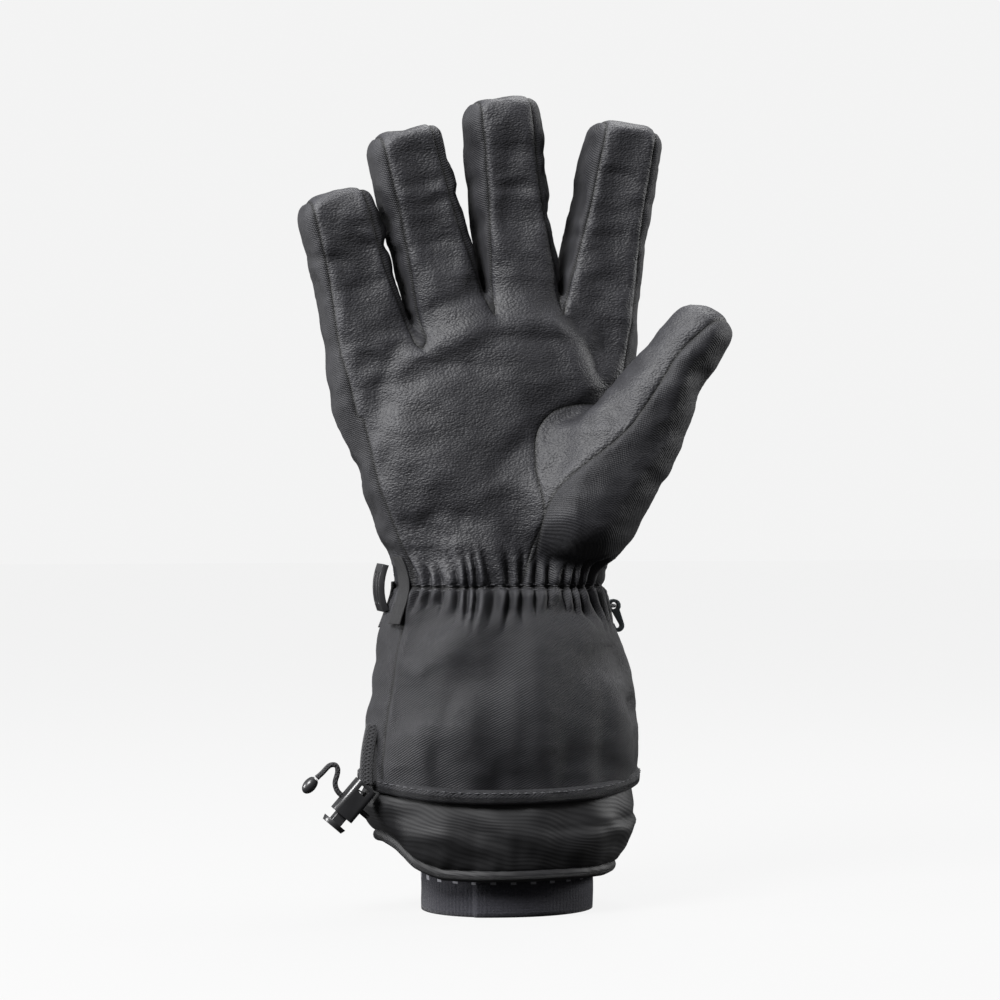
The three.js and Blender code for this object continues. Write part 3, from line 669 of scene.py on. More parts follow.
def panels_of_shell():
    """The shell's points, its faces and the panel name of each face."""
    points, faces = shell_net(GRID)
    heights = np.array([points[list(face), 2].mean() for face in faces])
    points, faces = refined(points, faces, np.abs(heights - STITCH_Z) < PLEATS_REACH)
    points = onto_surface(shell_field, points, 1)
    labels = np.full(len(faces), "all", dtype=object)
    thumb_seam, back_seam, palm_seam = GAUNTLET_SEAMS
    cuts = [
        ("all", above_hem, "above", "below"),
        ("above", lambda p: p[:, 2] - STITCH_Z, "upper", "gauntlet"),
        ("upper", thumb_side, "thumb", "mitt"),
        ("thumb", thumb_leather, "thumb_leather", "thumb_fabric"),
        ("mitt", lambda p: hand_field(p, True), "palm", "cloth"),
        ("cloth", lambda p: hand_field(p, False), "back", "side"),
        ("gauntlet", lambda p: inside_arc(p, thumb_seam, back_seam), "gauntlet_back", "front"),
        ("front", lambda p: inside_arc(p, back_seam, palm_seam), "gauntlet_side", "gauntlet_palm"),
    ]
    for label, field, positive, negative in cuts:
        chosen = labels == label
        rest = [face for face, pick in zip(faces, chosen) if not pick]
        subject = [face for face, pick in zip(faces, chosen) if pick]
        points, new, sides, made = cut_along(points, subject, field(points))
        faces = [with_cuts(face, made) for face in rest] + new
        named = np.where(sides > 0, positive, negative).astype(object)
        labels = np.concatenate([labels[~chosen], named])
    keep = np.flatnonzero(labels != "below")
    return points, [faces[i] for i in keep], labels[keep]


shell_points, shell_faces, shell_labels = panels_of_shell()
shell_fans, fan_owner = triangles(shell_faces)
shell_pairs = edges_of(shell_faces)
shell_smooth = vertex_normals(shell_points, shell_fans)

# ---------- relief: padding, seams and folds ----------

COARSE = 3.6  # voxel of the mesh that the padding is simulated on
PUFF_CAP = 2.6  # the furthest that padding moves the fabric
PUFF_FRAMES = 20  # how long it is simulated


def tree_of(points):
    tree = kdtree.KDTree(len(points))
    for i, point in enumerate(points.tolist()):
        tree.insert(point, i)
    tree.balance()
    return tree


def seam_vertices():
    """Vertices on the edges where two panels meet."""
    owner, seam = {}, set()
    for face, label in zip(shell_faces, shell_labels):
        for a, b in sides_of(face):
            key = (min(a, b), max(a, b))
            if owner.setdefault(key, label) != label:
                seam.update(key)
    return np.array(sorted(seam))


def nearness(points, tree):
    return np.array([tree.find(point)[2] for point in points.tolist()])


def placed(name, data):
    """A new object in the scene."""
    made = bpy.data.objects.new(name, data)
    bpy.context.scene.collection.objects.link(made)
    return made


def mesh_object(name, points, faces):
    """An object from points in mm."""
    mesh = bpy.data.meshes.new(name)
    mesh.from_pydata((np.asarray(points) * MM).tolist(), [], [tuple(int(i) for i in f) for f in faces])
    mesh.update()
    return placed(name, mesh)


def padding(seam_tree):
    """Simulates the smooth shell as cloth that is pinned at its seams and pushed out by its filling.

    Gives the coarse mesh's points and how far each one moves.
    """
    points, faces = shell_net(COARSE)
    cloth = mesh_object("cloth", points, faces)
    pins = cloth.vertex_groups.new(name="pins")
    distance = nearness(points, seam_tree)
    for i, (away, z) in enumerate(zip(distance, points[:, 2])):
        by_seam, by_hem = 1 - smoothstep(1.5, 4, away), z < HEM[2].max() + 3
        pins.add([i], float(max(by_seam, by_hem)), "REPLACE")
    modifier = cloth.modifiers.new("Cloth", "CLOTH")
    settings = modifier.settings
    settings.quality = 5
    settings.mass = 0.12
    settings.tension_stiffness = settings.compression_stiffness = 12
    settings.shear_stiffness = 5
    settings.bending_stiffness = 0.3
    settings.use_pressure = True
    settings.uniform_pressure_force = 4
    settings.shrink_min = -0.05  # the fabric is cut larger than the space it fills, so it puckers
    settings.vertex_group_mass = pins.name
    settings.effector_weights.gravity = 0
    scene = bpy.context.scene
    modifier.point_cache.frame_start, modifier.point_cache.frame_end = 1, PUFF_FRAMES
    for number in range(1, PUFF_FRAMES + 1):
        scene.frame_set(number)
    settled = mesh_points(cloth.evaluated_get(bpy.context.evaluated_depsgraph_get()).data)
    scene.frame_set(1)
    bpy.data.objects.remove(cloth)
    moved = relaxed(settled - points, edges_of(faces), 2)
    size = np.linalg.norm(moved, axis=1)[:, None]
    return points, moved * (PUFF_CAP * np.tanh(size / PUFF_CAP) / np.maximum(size, 1e-6))


def carried(points, sources, values, count=4):
    """Values at points, averaged from the nearest few sources."""
    tree = tree_of(sources)
    out = np.zeros((len(points), values.shape[1]))
    for i, point in enumerate(points.tolist()):
        near = tree.find_n(point, count)
        weight = np.array([1 / (0.3 + distance) ** 2 for _, _, distance in near])
        out[i] = weight @ values[[index for _, index, _ in near]] / weight.sum()
    return out


def folds(along, across, places, width, points, seed):
    """Soft creases across a tube at places along it, each one wandering a little."""
    wander = 3 * noise_at(points, 16, seed)
    patchy = smoothstep(-0.35, 0.35, noise_at(points, 13, seed + 20))
    total = np.zeros(len(along))
    for k, (place, depth) in enumerate(places):
        bow = 0.012 * (k % 3 - 1) * across**2  # one bends up, one stays straight, one bends down
        total -= depth * bell(along - place - wander - bow, width)
        total += 0.5 * depth * bell(along - place - 2.2 * width - wander - bow, 1.5 * width)
    return total * patchy


def finger_relief(points):
    """Creases across the palm side of each finger, as (place, depth), and a slow unevenness."""
    total = np.zeros(len(points))
    fields = np.array([stall.field(points) for stall in stalls])
    nearest = fields.argmin(0)
    for k, stall in enumerate(stalls):
        u, v, s = stall.coords(points)
        reach = (nearest == k) * smoothstep(0, 6, s)
        palm_side = smoothstep(4, -8, v)
        mid, end = stall.middle, stall.length
        creases = [(0.3 * mid, 0.35), (0.8 * mid, 0.6), (mid + 6, 1.0), (end - 22, 0.4)]
        broad = 0.8 * noise_at(np.stack([u, v, s], 1), (19, 19, 9), k + 1)
        total += reach * mix(0.1, 1, palm_side) * (folds(s, u, creases, 2.6, points, k + 1) + broad)
    return total


def thumb_relief(points):
    """The thumb's creases, as (place, depth), and a slow unevenness."""
    u, v, s = thumb.coords(points)
    on_thumb = smoothstep(3, -3, thumb.field(points) - 0.5) * smoothstep(-40, -20, s)
    creases = [(-12, 0.6), (12, 0.6), (27, 0.7)]
    broad = 0.5 * noise_at(np.stack([u, v, s], 1), (16, 16, 10), 6)
    return on_thumb * (folds(s, u, creases, 2.6, points, 6) + broad)


def line_distance(points, start, end):
    """Distance in x and z from a segment, and the share along it."""
    p, a, b = points[:, [0, 2]] - [CUFF_X, 0], np.array(start), np.array(end)
    share = np.clip((p - a) @ (b - a) / ((b - a) @ (b - a)), 0, 1)
    return np.linalg.norm(p - a - share[:, None] * (b - a), axis=1), share


def palm_relief(points):
    """The diagonal folds of a relaxed palm.

    Each fold is its start and end as (x from the cuff's centre, height), how high it stands and its width.
    """
    x, y, z = points.T
    front = smoothstep(-4, -12, y) * smoothstep(STITCH_Z + 10, STITCH_Z + 28, z)
    front = front * smoothstep(0, -8, z - crotch_height(x))
    lines = [
        ((21, 238), (38, 206), -1.5, 3),
        ((14, 236), (29, 202), 1.2, 4.5),
        ((-8, 232), (-12, 205), -0.5, 6),
        ((-58, 205), (-30, 192), -0.8, 4),
        ((-52, 184), (-22, 170), 0.8, 6),
        ((-44, 170), (-20, 152), -0.8, 5),
        ((-14, 160), (4, 140), 0.6, 6),
    ]
    total = 1.1 * noise_at(points, (26, 26, 18), 3) + 0.5 * noise_at(points, (12, 12, 7), 4)
    for start, end, height, width in lines:
        distance, share = line_distance(points, start, end)
        total = total + height * bell(distance, width) * np.sin(math.pi * mix(0.15, 0.9, share))
    return front * total


def wrist_relief(points):
    """Pleats where the elastic gathers the wrist. Each has its own reach, up and down."""
    z = points[:, 2]
    spacing = 5.2
    arc = np.radians(gauntlet_angle(points)) * WRIST_RADIUS
    drift = noise_at(points, (12, 12, 45), 5)
    phase = arc / spacing + 1.3 * drift
    number = np.floor(phase)
    ridge = 1 - np.abs(2 * (phase - number) - 1) ** 1.6  # rounded pleats with sharp valleys between them
    reach_up = 9 + 11 * np.abs(np.sin(number * 12.9))
    reach_down = 7 + 15 * np.abs(np.sin(number * 78.2))
    above = z - STITCH_Z
    fade = smoothstep(reach_up, 0.25 * reach_up, above) * smoothstep(reach_down, 0.25 * reach_down, -above)
    held = 1 - 0.35 * bell(above, 2)
    near = smoothstep(PLEATS_REACH + 6, 8, np.abs(above))
    rolls = 0.6 * noise_at(points, (24, 24, 7), 8)
    return near * (fade * held * (3.4 * ridge - 1.8) + rolls) - 0.45 * bell(above, 1.4)


def gauntlet_relief(points):
    """Long soft hollows down the gauntlet, with ripples near its hem."""
    z = points[:, 2]
    low = smoothstep(STITCH_Z, STITCH_Z - 18, z)
    broad = 3.6 * noise_at(points, (16, 16, 50), 11)
    near_hem = smoothstep(HEM[2].max() + 26, HEM[2].max() + 4, z)
    ripples = 0.7 * noise_at(points, (9, 9, 26), 12)
    return low * (broad + near_hem * ripples)


def relief(points, seam_distance):
    """How far each point of the shell stands out from its smooth skin."""
    groove = -0.6 * bell(seam_distance, 0.8)
    fine = 0.22 * noise_at(points, (7, 7, 4.5), 2)
    calm = 1 - 0.8 * bell(seam_distance, 2)
    folds_of_parts = finger_relief(points) + thumb_relief(points) + palm_relief(points)
    return groove + calm * (fine + folds_of_parts) + wrist_relief(points) + gauntlet_relief(points)


STRAP_ANGLES = (8, 166)  # degrees round the section that the strap on the wrist's back covers


def pressed_by_strap(points):
    """Holds the shell down to its smooth skin under the strap on the wrist's back."""
    low, high = node_box("wrist_strap")
    across = smoothstep(-4, 1, inside_arc(shell_points, *STRAP_ANGLES))
    z = shell_points[:, 2]
    along = smoothstep(low[2] - 6, low[2] - 1, z) * smoothstep(high[2] + 6, high[2] + 1, z)
    lift = ((points - shell_points) * shell_smooth).sum(1)
    allowed = mix(9, 0.3, across * along)
    return points - shell_smooth * np.maximum(lift - allowed, 0)[:, None]


seam_ids = seam_vertices()
seam_tree = tree_of(shell_points[seam_ids])
seam_distance = nearness(shell_points, seam_tree)
outer = shell_points + shell_smooth * relief(shell_points, seam_distance)[:, None]
outer += carried(shell_points, *padding(seam_tree))
outer = pressed_by_strap(outer)
shell_smooth = vertex_normals(outer, shell_fans)
# Raised places are painted lighter, as wear and painted highlight, and hollows darker, as painted shade.
standing = outer - relaxed(outer, shell_pairs, 6)
shell_wear_and_shade = np.clip((standing * shell_smooth).sum(1) * 0.9, -1, 1)
shell_tree = bvhtree.BVHTree.FromPolygons(outer.tolist(), shell_fans.tolist())

# ---------- materials ----------


class Finish:
    """A procedural material under construction.

    Scales are in repeats for each mm where a texture reads a piece's stored places or threads, and in repeats
    for each metre where it reads the object's own coordinates. Bump depths are in mm.
    """

    def __init__(self, name):
        self.material = bpy.data.materials.new(name)
        self.material.use_nodes = True
        self.tree = self.material.node_tree
        self.surface = self.tree.nodes["Principled BSDF"]

    def node(self, kind, inputs=None, **settings):
        made = self.tree.nodes.new("ShaderNode" + kind)
        for key, value in settings.items():
            setattr(made, key, value)
        for key, value in (inputs or {}).items():
            if isinstance(value, bpy.types.NodeSocket):
                self.tree.links.new(value, made.inputs[key])
            else:
                made.inputs[key].default_value = value
        return made.outputs

    def maths(self, operation, a, b=0.0):
        return self.node("Math", {0: a, 1: b}, operation=operation)[0]

    def weighted(self, first, *others):
        """The sum of (value, share) pairs."""
        total = self.maths("MULTIPLY", *first)
        for value, share in others:
            total = self.maths("ADD", total, self.maths("MULTIPLY", value, share))
        return total

    def stored(self, name):
        return self.node("Attribute", attribute_name=name)

    def scaled(self, vector, scale, turn=0.0):
        """A vector times a scale (one number, or one for each axis), turned by an angle in degrees."""
        size = scale if isinstance(scale, tuple) else (scale,) * 3
        inputs = {"Vector": vector, "Scale": size, "Rotation": (0, 0, math.radians(turn))}
        return self.node("Mapping", inputs)[0]

    def noise(self, vector, detail=3.0, rough=0.5):
        inputs = {"Vector": vector, "Scale": 1.0, "Detail": detail, "Roughness": rough}
        return self.node("TexNoise", inputs)[0]

    def cells(self, vector, feature="F1"):
        return self.node("TexVoronoi", {"Vector": vector, "Scale": 1.0}, feature=feature)[0]

    def waves(self, vector, bend=0.0):
        """Bands across the vector's x, one for each unit."""
        per_unit = 3.1831  # the node's bands in one unit, at scale 1
        inputs = {"Vector": vector, "Scale": 1 / per_unit, "Distortion": bend}
        inputs |= {"Detail": 1.0, "Detail Scale": 1.0}
        return self.node("TexWave", inputs, bands_direction="X")[1]

    def spread(self, value, size):
        """A vector with the same value, times a size, on every axis."""
        return self.node("CombineXYZ", {k: self.maths("MULTIPLY", value, size) for k in range(3)})[0]

    def between(self, share, low, high):
        """A value between two others."""
        return self.node("MapRange", {"Value": share, "To Min": low, "To Max": high})[0]

    def colours(self, share, dark, light):
        """A colour between two others, each of them three numbers or a socket."""
        made = self.tree.nodes.new("ShaderNodeMix")
        made.data_type = "RGBA"
        self.tree.links.new(share, made.inputs[0])
        for slot, value in ((6, dark), (7, light)):
            if isinstance(value, bpy.types.NodeSocket):
                self.tree.links.new(value, made.inputs[slot])
            else:
                made.inputs[slot].default_value = (*value, 1)
        return made.outputs[2]

    def set(self, **values):
        names = {
            "colour": "Base Color",
            "rough": "Roughness",
            "metal": "Metallic",
            "gloss": "Specular IOR Level",
            "sheen": "Sheen Weight",
            "coat": "Coat Weight",
        }
        for key, value in values.items():
            socket = self.surface.inputs[names[key]]
            if isinstance(value, bpy.types.NodeSocket):
                self.tree.links.new(value, socket)
            else:
                socket.default_value = value

    def bump(self, *layers):
        """Stacks (height, depth) layers into the surface's normal."""
        normal = None
        for height, depth in layers:
            inputs = {"Height": height, "Distance": depth * MM, "Strength": 1.0}
            if normal is not None:
                inputs["Normal"] = normal
            normal = self.node("Bump", inputs)[0]
        self.tree.links.new(normal, self.surface.inputs["Normal"])


def away_from_seams(finish):
    """0 in the thin line of painted shade where two panels meet, 1 beyond it."""
    inputs = {"Value": finish.stored("seam")[2], "From Min": 0.3, "From Max": 1.0}
    return finish.node("MapRange", inputs)[0]


def worn_and_shaded(finish, dark, light, spread, share=0.5):
    """A colour that varies with a slow noise and with how raised the place is: raised places lighter, as wear
    and painted highlight, hollows darker, as painted shade.
    """
    # Painted shade in hollows, and painted highlight with wear on raised places.
    raised = finish.between(finish.stored("wear")[2], -0.5, 1.5)
    amount = finish.weighted((spread, 1 - share), (raised, share))
    colour = finish.colours(finish.node("Clamp", {"Value": amount})[0], dark, light)
    # Painted shade: in the groove along each seam, the colour drops to a third.
    painted_seam_shade = tuple(0.3 * value for value in dark)
    return finish.colours(away_from_seams(finish), painted_seam_shade, colour)


def leather_finish():
    made = Finish("leather")
    place = made.stored("place")[1]
    wrinkles = made.noise(made.scaled(place, (0.16, 0.16, 0.5)), 2, 0.4)
    pebble = made.cells(made.scaled(place, (1.1, 1.1, 1.8)), "SMOOTH_F1")
    raised = made.maths("SUBTRACT", 1.0, pebble)
    patches = made.noise(made.scaled(place, 0.05), 2)
    mixed = made.weighted((patches, 0.6), (raised, 0.5))
    made.set(colour=worn_and_shaded(made, (0.007, 0.007, 0.009), (0.031, 0.031, 0.037), mixed, 0.4), gloss=0.5)
    made.set(rough=made.between(patches, 0.56, 0.66))
    made.bump((wrinkles, 0.2), (raised, 0.3))
    return made.material


def woven_finish(name, dark, light, period, depth):
    made = Finish(name)
    weave, place = made.stored("weave")[1], made.stored("place")[1]
    ribs = made.waves(made.scaled(weave, 1 / period, 58), 0.3)
    threads = made.waves(made.scaled(weave, 2.2 / period, -30), 0.3)
    slub = made.noise(made.scaled(place, 0.9), 3)
    patches = made.noise(made.scaled(place, 0.04), 2)
    lit = made.weighted((ribs, 0.45), (patches, 0.35), (slub, 0.25))
    made.set(colour=worn_and_shaded(made, dark, light, lit), rough=made.between(slub, 0.58, 0.74))
    made.set(sheen=0.02, gloss=0.42)
    made.bump((slub, 0.12), (ribs, depth), (threads, depth * 0.5))
    return made.material


def nylon_finish():
    made = Finish("skirt_nylon")
    weave, place = made.stored("weave")[1], made.stored("place")[1]
    bend = made.noise(made.scaled(place, (0.035, 0.035, 0.06)), 1)
    moved = made.node("VectorMath", {0: weave, 1: made.spread(bend, 9)}, operation="ADD")[0]
    lines = made.waves(made.scaled(moved, 1 / 1.7, -78), 0.2)
    patches = made.noise(made.scaled(place, 0.06), 2)
    made.set(colour=worn_and_shaded(made, (0.007, 0.007, 0.008), (0.024, 0.024, 0.027), lines, 0.6), gloss=0.4)
    made.set(rough=made.between(patches, 0.55, 0.7))
    made.bump((lines, 0.05))
    return made.material


def knit_finish():
    """Brushed knit, with a band of small light squares round the rim."""
    made = Finish("knit")
    weave = made.stored("weave")[1]
    ribs = made.waves(made.scaled(weave, 1 / 1.6))
    stitches = made.waves(made.scaled(weave, 1 / 1.1, 90))
    split = made.node("SeparateXYZ", {"Vector": weave})
    spacing, height, half_height = 3.9, 14.5, 1.7  # of the squares, whose band is this high above the rim
    column = made.maths("PINGPONG", made.maths("MULTIPLY", split[0], 1 / spacing), 1.0)
    row = made.maths("ABSOLUTE", made.maths("SUBTRACT", split[1], height))
    in_column, in_row = made.maths("GREATER_THAN", column, 0.72), made.maths("LESS_THAN", row, half_height)
    square = made.maths("MULTIPLY", in_column, in_row)
    fuzz = made.noise(made.scaled(made.stored("place")[1], 1.3), 5, 0.7)
    shade = made.weighted((square, 0.85), (fuzz, 0.14))
    made.set(colour=made.colours(shade, (0.008, 0.008, 0.013), (0.3, 0.3, 0.33)))
    made.set(rough=0.92, sheen=0.15, gloss=0.15)
    made.bump((fuzz, 0.5), (ribs, 0.05), (stitches, 0.04))
    return made.material


def braid_finish(name, dark, light, period=1.1):
    made = Finish(name)
    weave = made.stored("weave")[1]
    one = made.waves(made.scaled(weave, 1 / period, 45))
    other = made.waves(made.scaled(weave, 1 / period, -45))
    height = made.maths("MAXIMUM", one, other)
    made.set(colour=made.colours(height, dark, light), rough=0.75, sheen=0.1, gloss=0.3)
    made.bump((height, 0.3))
    return made.material


def moulded_finish(name, dark, light, rough):
    made = Finish(name)
    coordinates = made.node("TexCoord")[3]
    cloud = made.noise(made.scaled(coordinates, 90), 3)
    fine = made.noise(made.scaled(coordinates, 1600), 2)
    made.set(colour=made.colours(cloud, dark, light), coat=0.1)
    made.set(rough=made.between(cloud, rough - 0.06, rough + 0.1))
    made.bump((fine, 0.03))
    return made.material


def fleece_finish():
    made = Finish("lining")
    place = made.stored("place")[1]
    pile = made.noise(made.scaled(place, 1.1), 6, 0.7)
    made.set(colour=made.colours(pile, (0.02, 0.02, 0.023), (0.07, 0.07, 0.078)))
    made.set(rough=0.95, sheen=0.3, gloss=0.15)
    made.bump((pile, 0.8))
    return made.material


def steel_finish():
    made = Finish("spring_steel")
    streaks = made.noise(made.scaled(made.node("TexCoord")[3], (300, 300, 2500)), 3)
    made.set(colour=made.colours(streaks, (0.42, 0.43, 0.45), (0.62, 0.63, 0.65)), metal=1.0, rough=0.3)
    made.bump((streaks, 0.01))
    return made.material


MATERIALS = {
    "leather": leather_finish(),
    "twill": woven_finish("twill", (0.004, 0.004, 0.006), (0.030, 0.030, 0.035), 0.8, 0.1),
    "skirt_nylon": nylon_finish(),
    "knit": knit_finish(),
    "lining": fleece_finish(),
    "webbing": braid_finish("webbing", (0.006, 0.006, 0.007), (0.04, 0.04, 0.043)),
    "thread": braid_finish("thread", (0.02, 0.02, 0.022), (0.06, 0.06, 0.066)),
    "elastic": braid_finish("elastic", (0.006, 0.006, 0.007), (0.028, 0.028, 0.03), 1.2),
    "label_tape": woven_finish("label_tape", (0.006, 0.006, 0.007), (0.02, 0.02, 0.022), 0.7, 0.12),
    "black_plastic": moulded_finish("black_plastic", (0.012, 0.012, 0.013), (0.022, 0.022, 0.024), 0.32),
    "grey_plastic": moulded_finish("grey_plastic", (0.07, 0.085, 0.095), (0.11, 0.13, 0.14), 0.42),
    "spring_steel": steel_finish(),
}

# ---------- building pieces ----------

FAR_FROM_SEAM = 9.0  # the distance stored on pieces that have no seams


def store(mesh, name, domain, values):
    values = np.asarray(values, np.float32)
    kind = "FLOAT" if values.ndim == 1 else "FLOAT_VECTOR"
    layer = mesh.attributes.new(name, kind, domain)
    layer.data.foreach_set("value" if values.ndim == 1 else "vector", values.ravel())


def dress(made, slot, nodes):
    """Gives a piece its material and hides the CAD nodes that it stands for."""
    made.data.materials.clear()
    made.data.materials.append(MATERIALS[slot])
    if nodes:
        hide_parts(*nodes)
    return made


def finished(name, points, faces, slot, nodes, weave=None, wear=None, seam=None, normals=None):
    """A smooth piece with what its material reads: its places, threads, wear with painted shade, and distance
    from a seam.
    """
    made = mesh_object(name, points, faces)
    mesh = made.data
    store(mesh, "place", "POINT", points)
    store(mesh, "wear", "POINT", np.zeros(len(points)) if wear is None else wear)
    store(mesh, "seam", "POINT", np.full(len(points), FAR_FROM_SEAM) if seam is None else seam)
    if weave is None:
        weave = np.asarray(points)[[i for face in faces for i in face]]
    store(mesh, "weave", "CORNER", weave)
    mesh.shade_smooth()
    if normals is not None:
        mesh.normals_split_custom_set(normals.tolist())
    return dress(made, slot, nodes)


GAUNTLET_MIDDLES = {"gauntlet_palm": 290, "gauntlet_back": 88, "gauntlet_side": 185}  # degrees


def weave_of(label, points):
    """Coordinates along and across a panel's threads, in mm."""
    x, y, z = points.T
    if label in GAUNTLET_MIDDLES:
        arc = degrees_from(GAUNTLET_MIDDLES[label], gauntlet_angle(points))
        return np.stack([np.radians(arc) * CUFF_RADIUS, z, 0 * z], 1)
    if label == "side":
        return np.stack([y, z, 0 * z], 1)
    if label.startswith("thumb"):
        u, v, s = thumb.coords(points)
        return np.stack([u - v, s, 0 * z], 1)
    return np.stack([x, z, 0 * z], 1)


panel_normals = {
    label: vertex_normals(outer, shell_fans[shell_labels[fan_owner] == label]) for label in set(shell_labels)
}


def shell_piece(name, members, slot, nodes):
    """A piece of the shell from some of its faces: outer layer, inner layer and rim."""
    old, sheet = renumbered([shell_faces[m] for m in members])
    layers, rim = two_layers(sheet, len(old))
    points = np.concatenate([outer[old], outer[old] - SHEET * shell_smooth[old]])
    normals, weave = [], []
    for m in members:
        label = shell_labels[m]
        ids = list(shell_faces[m])
        normals.append(panel_normals[label][ids])
        weave.append(weave_of(label, shell_points[ids]))
    normals += [-shell_smooth[list(shell_faces[m])[::-1]] for m in members]
    weave += [part[::-1] for part in weave]
    for face in rim:
        a, b, c, d = points[list(face)]
        across = np.cross(c - a, d - b)
        flat = across / max(np.linalg.norm(across), 1e-9)
        normals.append(np.tile(flat, (4, 1)))
        weave.append(points[list(face)])
    return finished(
        name,
        points,
        layers + rim,
        slot,
        nodes,
        weave=np.concatenate(weave),
        wear=np.tile(shell_wear_and_shade[old], 2),
        seam=np.tile(seam_distance[old], 2),
        normals=np.concatenate(normals),
    )


# ---------- the shell's pieces and their bending zones ----

MIDDLE_REACH = 12.5  # half the length over which a finger bends at its middle joint
WRIST_REACH = 12
THUMB_FROM = 8  # the thumb starts to bend above its seam with the hand
THUMB_SPLIT = 19


def zones_of(points, labels=None):
    """Which bending zone each point is in: the hand with its gauntlet, or one half of a finger or thumb.

    Without labels, the thumb's points are those nearer to the thumb's field than to the hand's.
    """
    zones = np.full(len(points), "hand", dtype=object)
    x, _, z = points.T
    nearest = np.array([stall.field(points) for stall in stalls]).argmin(0)
    for k, stall in enumerate(stalls):
        s = stall.coords(points)[2]
        own = (nearest == k) & (s > -1) & (z > crotch_height(x) - STRIP_FOOT)
        zones[own] = f"{stall.name}_lower"
        zones[own & (s > stall.middle - MIDDLE_REACH)] = f"{stall.name}_tip"
    s = thumb.coords(points)[2]
    if labels is None:
        own = (thumb.field(points) < body_field(points)) & (z < crotch_height(x) + 20)
    else:
        own = np.array([label.startswith("thumb") for label in labels])
    zones[own & (s > THUMB_FROM)] = "thumb_lower"
    zones[own & (s > THUMB_SPLIT)] = "thumb_tip"
    zones[own & (s <= THUMB_FROM)] = "hand"
    return zones


def bend_with(piece, zone):
    """Bakes a piece's placement into its mesh. The span of its zone's joint is worked out, but not used."""
    digit, _, part = zone.partition("_")
    if zone == "hand":
        low, high = np.array([0, 0, WRIST_Z - WRIST_REACH]), np.array([0, 0, WRIST_Z + WRIST_REACH])
        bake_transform(piece)
        return
    stall = thumb if digit == "thumb" else stalls[FINGERS.index(digit)]
    if digit == "thumb":
        thumb_end = 2 * stall.middle - THUMB_SPLIT + 3
        spans = {"lower": (THUMB_FROM, THUMB_SPLIT), "tip": (THUMB_SPLIT, thumb_end)}
    else:
        split = stall.middle - MIDDLE_REACH
        spans = {"lower": (0, split), "tip": (split, stall.middle + MIDDLE_REACH)}
    low, high = spans[part]
    start, end = stall.to_row(0, 0, low) * MM, stall.to_row(0, 0, high) * MM
    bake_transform(piece)


def shell_plan():
    """Name, labels, zone, material slot and replaced CAD nodes of each piece of the shell."""
    webs = [f"fourchette_{a}_{b}" for a, b in zip(FINGERS, FINGERS[1:])]
    plan = [
        ("palm_leather", ["palm"], "hand", "leather", ["palm_panel"]),
        ("back_cloth", ["back"], "hand", "twill", ["back_panel"]),
        ("side_walls", ["side"], "hand", "twill", ["ulnar_side_panel", *webs]),
        ("thumb_base_hide", ["thumb_leather"], "hand", "leather", ["thumb_base_leather"]),
        ("thumb_base_cloth", ["thumb_fabric"], "hand", "twill", ["thumb_base_fabric"]),
        ("gauntlet_front", ["gauntlet_palm"], "hand", "twill", ["gauntlet_palm_panel"]),
        ("gauntlet_back", ["gauntlet_back"], "hand", "twill", ["gauntlet_back_panel"]),
        ("gauntlet_side", ["gauntlet_side"], "hand", "twill", ["gauntlet_side_strip"]),
    ]
    for digit in (*FINGERS, "thumb"):
        leather, cloth = ["palm"], ["side", "back"]
        if digit == "thumb":
            leather, cloth = ["thumb_leather"], ["thumb_fabric"]
        for part in ("lower", "tip"):
            zone = f"{digit}_{part}"
            plan.append((f"{zone}_hide", leather, zone, "leather", [f"{zone}_leather"]))
            plan.append((f"{zone}_cloth", cloth, zone, "twill", [f"{zone}_fabric"]))
    return plan


face_zones = zones_of(middles_of(shell_points, shell_faces), shell_labels)
for name, labels, zone, slot, nodes in shell_plan():
    members = np.flatnonzero(np.isin(shell_labels.astype(str), labels) & (face_zones == zone))
    bend_with(shell_piece(name, members, slot, nodes), zone)


def lining():
    """The padded liner, seen only from inside the cuff."""
    step, depth, thick = 4.5, 3.4, 1.6
    points, faces = evened_net(lambda p: shell_field(p) + depth, HEM[2].max() + 14, step, 1)
    normals = vertex_normals(points, triangles(faces)[0])
    zones = zones_of(middles_of(points, faces))
    for zone in sorted(set(zones)):
        old, sheet = renumbered([faces[i] for i in np.flatnonzero(zones == zone)])
        layers, rim = two_layers(sheet, len(old))
        both = np.concatenate([points[old], points[old] - thick * normals[old]])
        nodes = ["hand_liner", "gauntlet_liner"] if zone == "hand" else [f"{zone}_liner"]
        bend_with(finished(f"{zone}_lining", both, layers + rim, "lining", nodes), zone)


lining()

# ---------- sewn bands and tubes ----------


def rounded(half_width, half_depth, angle, power):
    """A point of a rounded rectangle's edge."""
    c, s = np.cos(angle), np.sin(angle)
    return (
        half_width * np.sign(c) * np.abs(c) ** (2 / power),
        half_depth * np.sign(s) * np.abs(s) ** (2 / power),
    )


def grid_faces(rows, columns, first=0, closed=False):
    """Faces between rows of points. In a closed grid the last column is joined to the first."""
    faces = []
    for j in range(rows - 1):
        for i in range(columns if closed else columns - 1):
            a, b = first + j * columns + i, first + j * columns + (i + 1) % columns
            faces.append((a, b, b + columns, a + columns))
    return faces


def travelled(path):
    """The length along a path to each of its points."""
    return np.concatenate([[0], np.cumsum(np.linalg.norm(np.diff(path, axis=0), axis=1))])


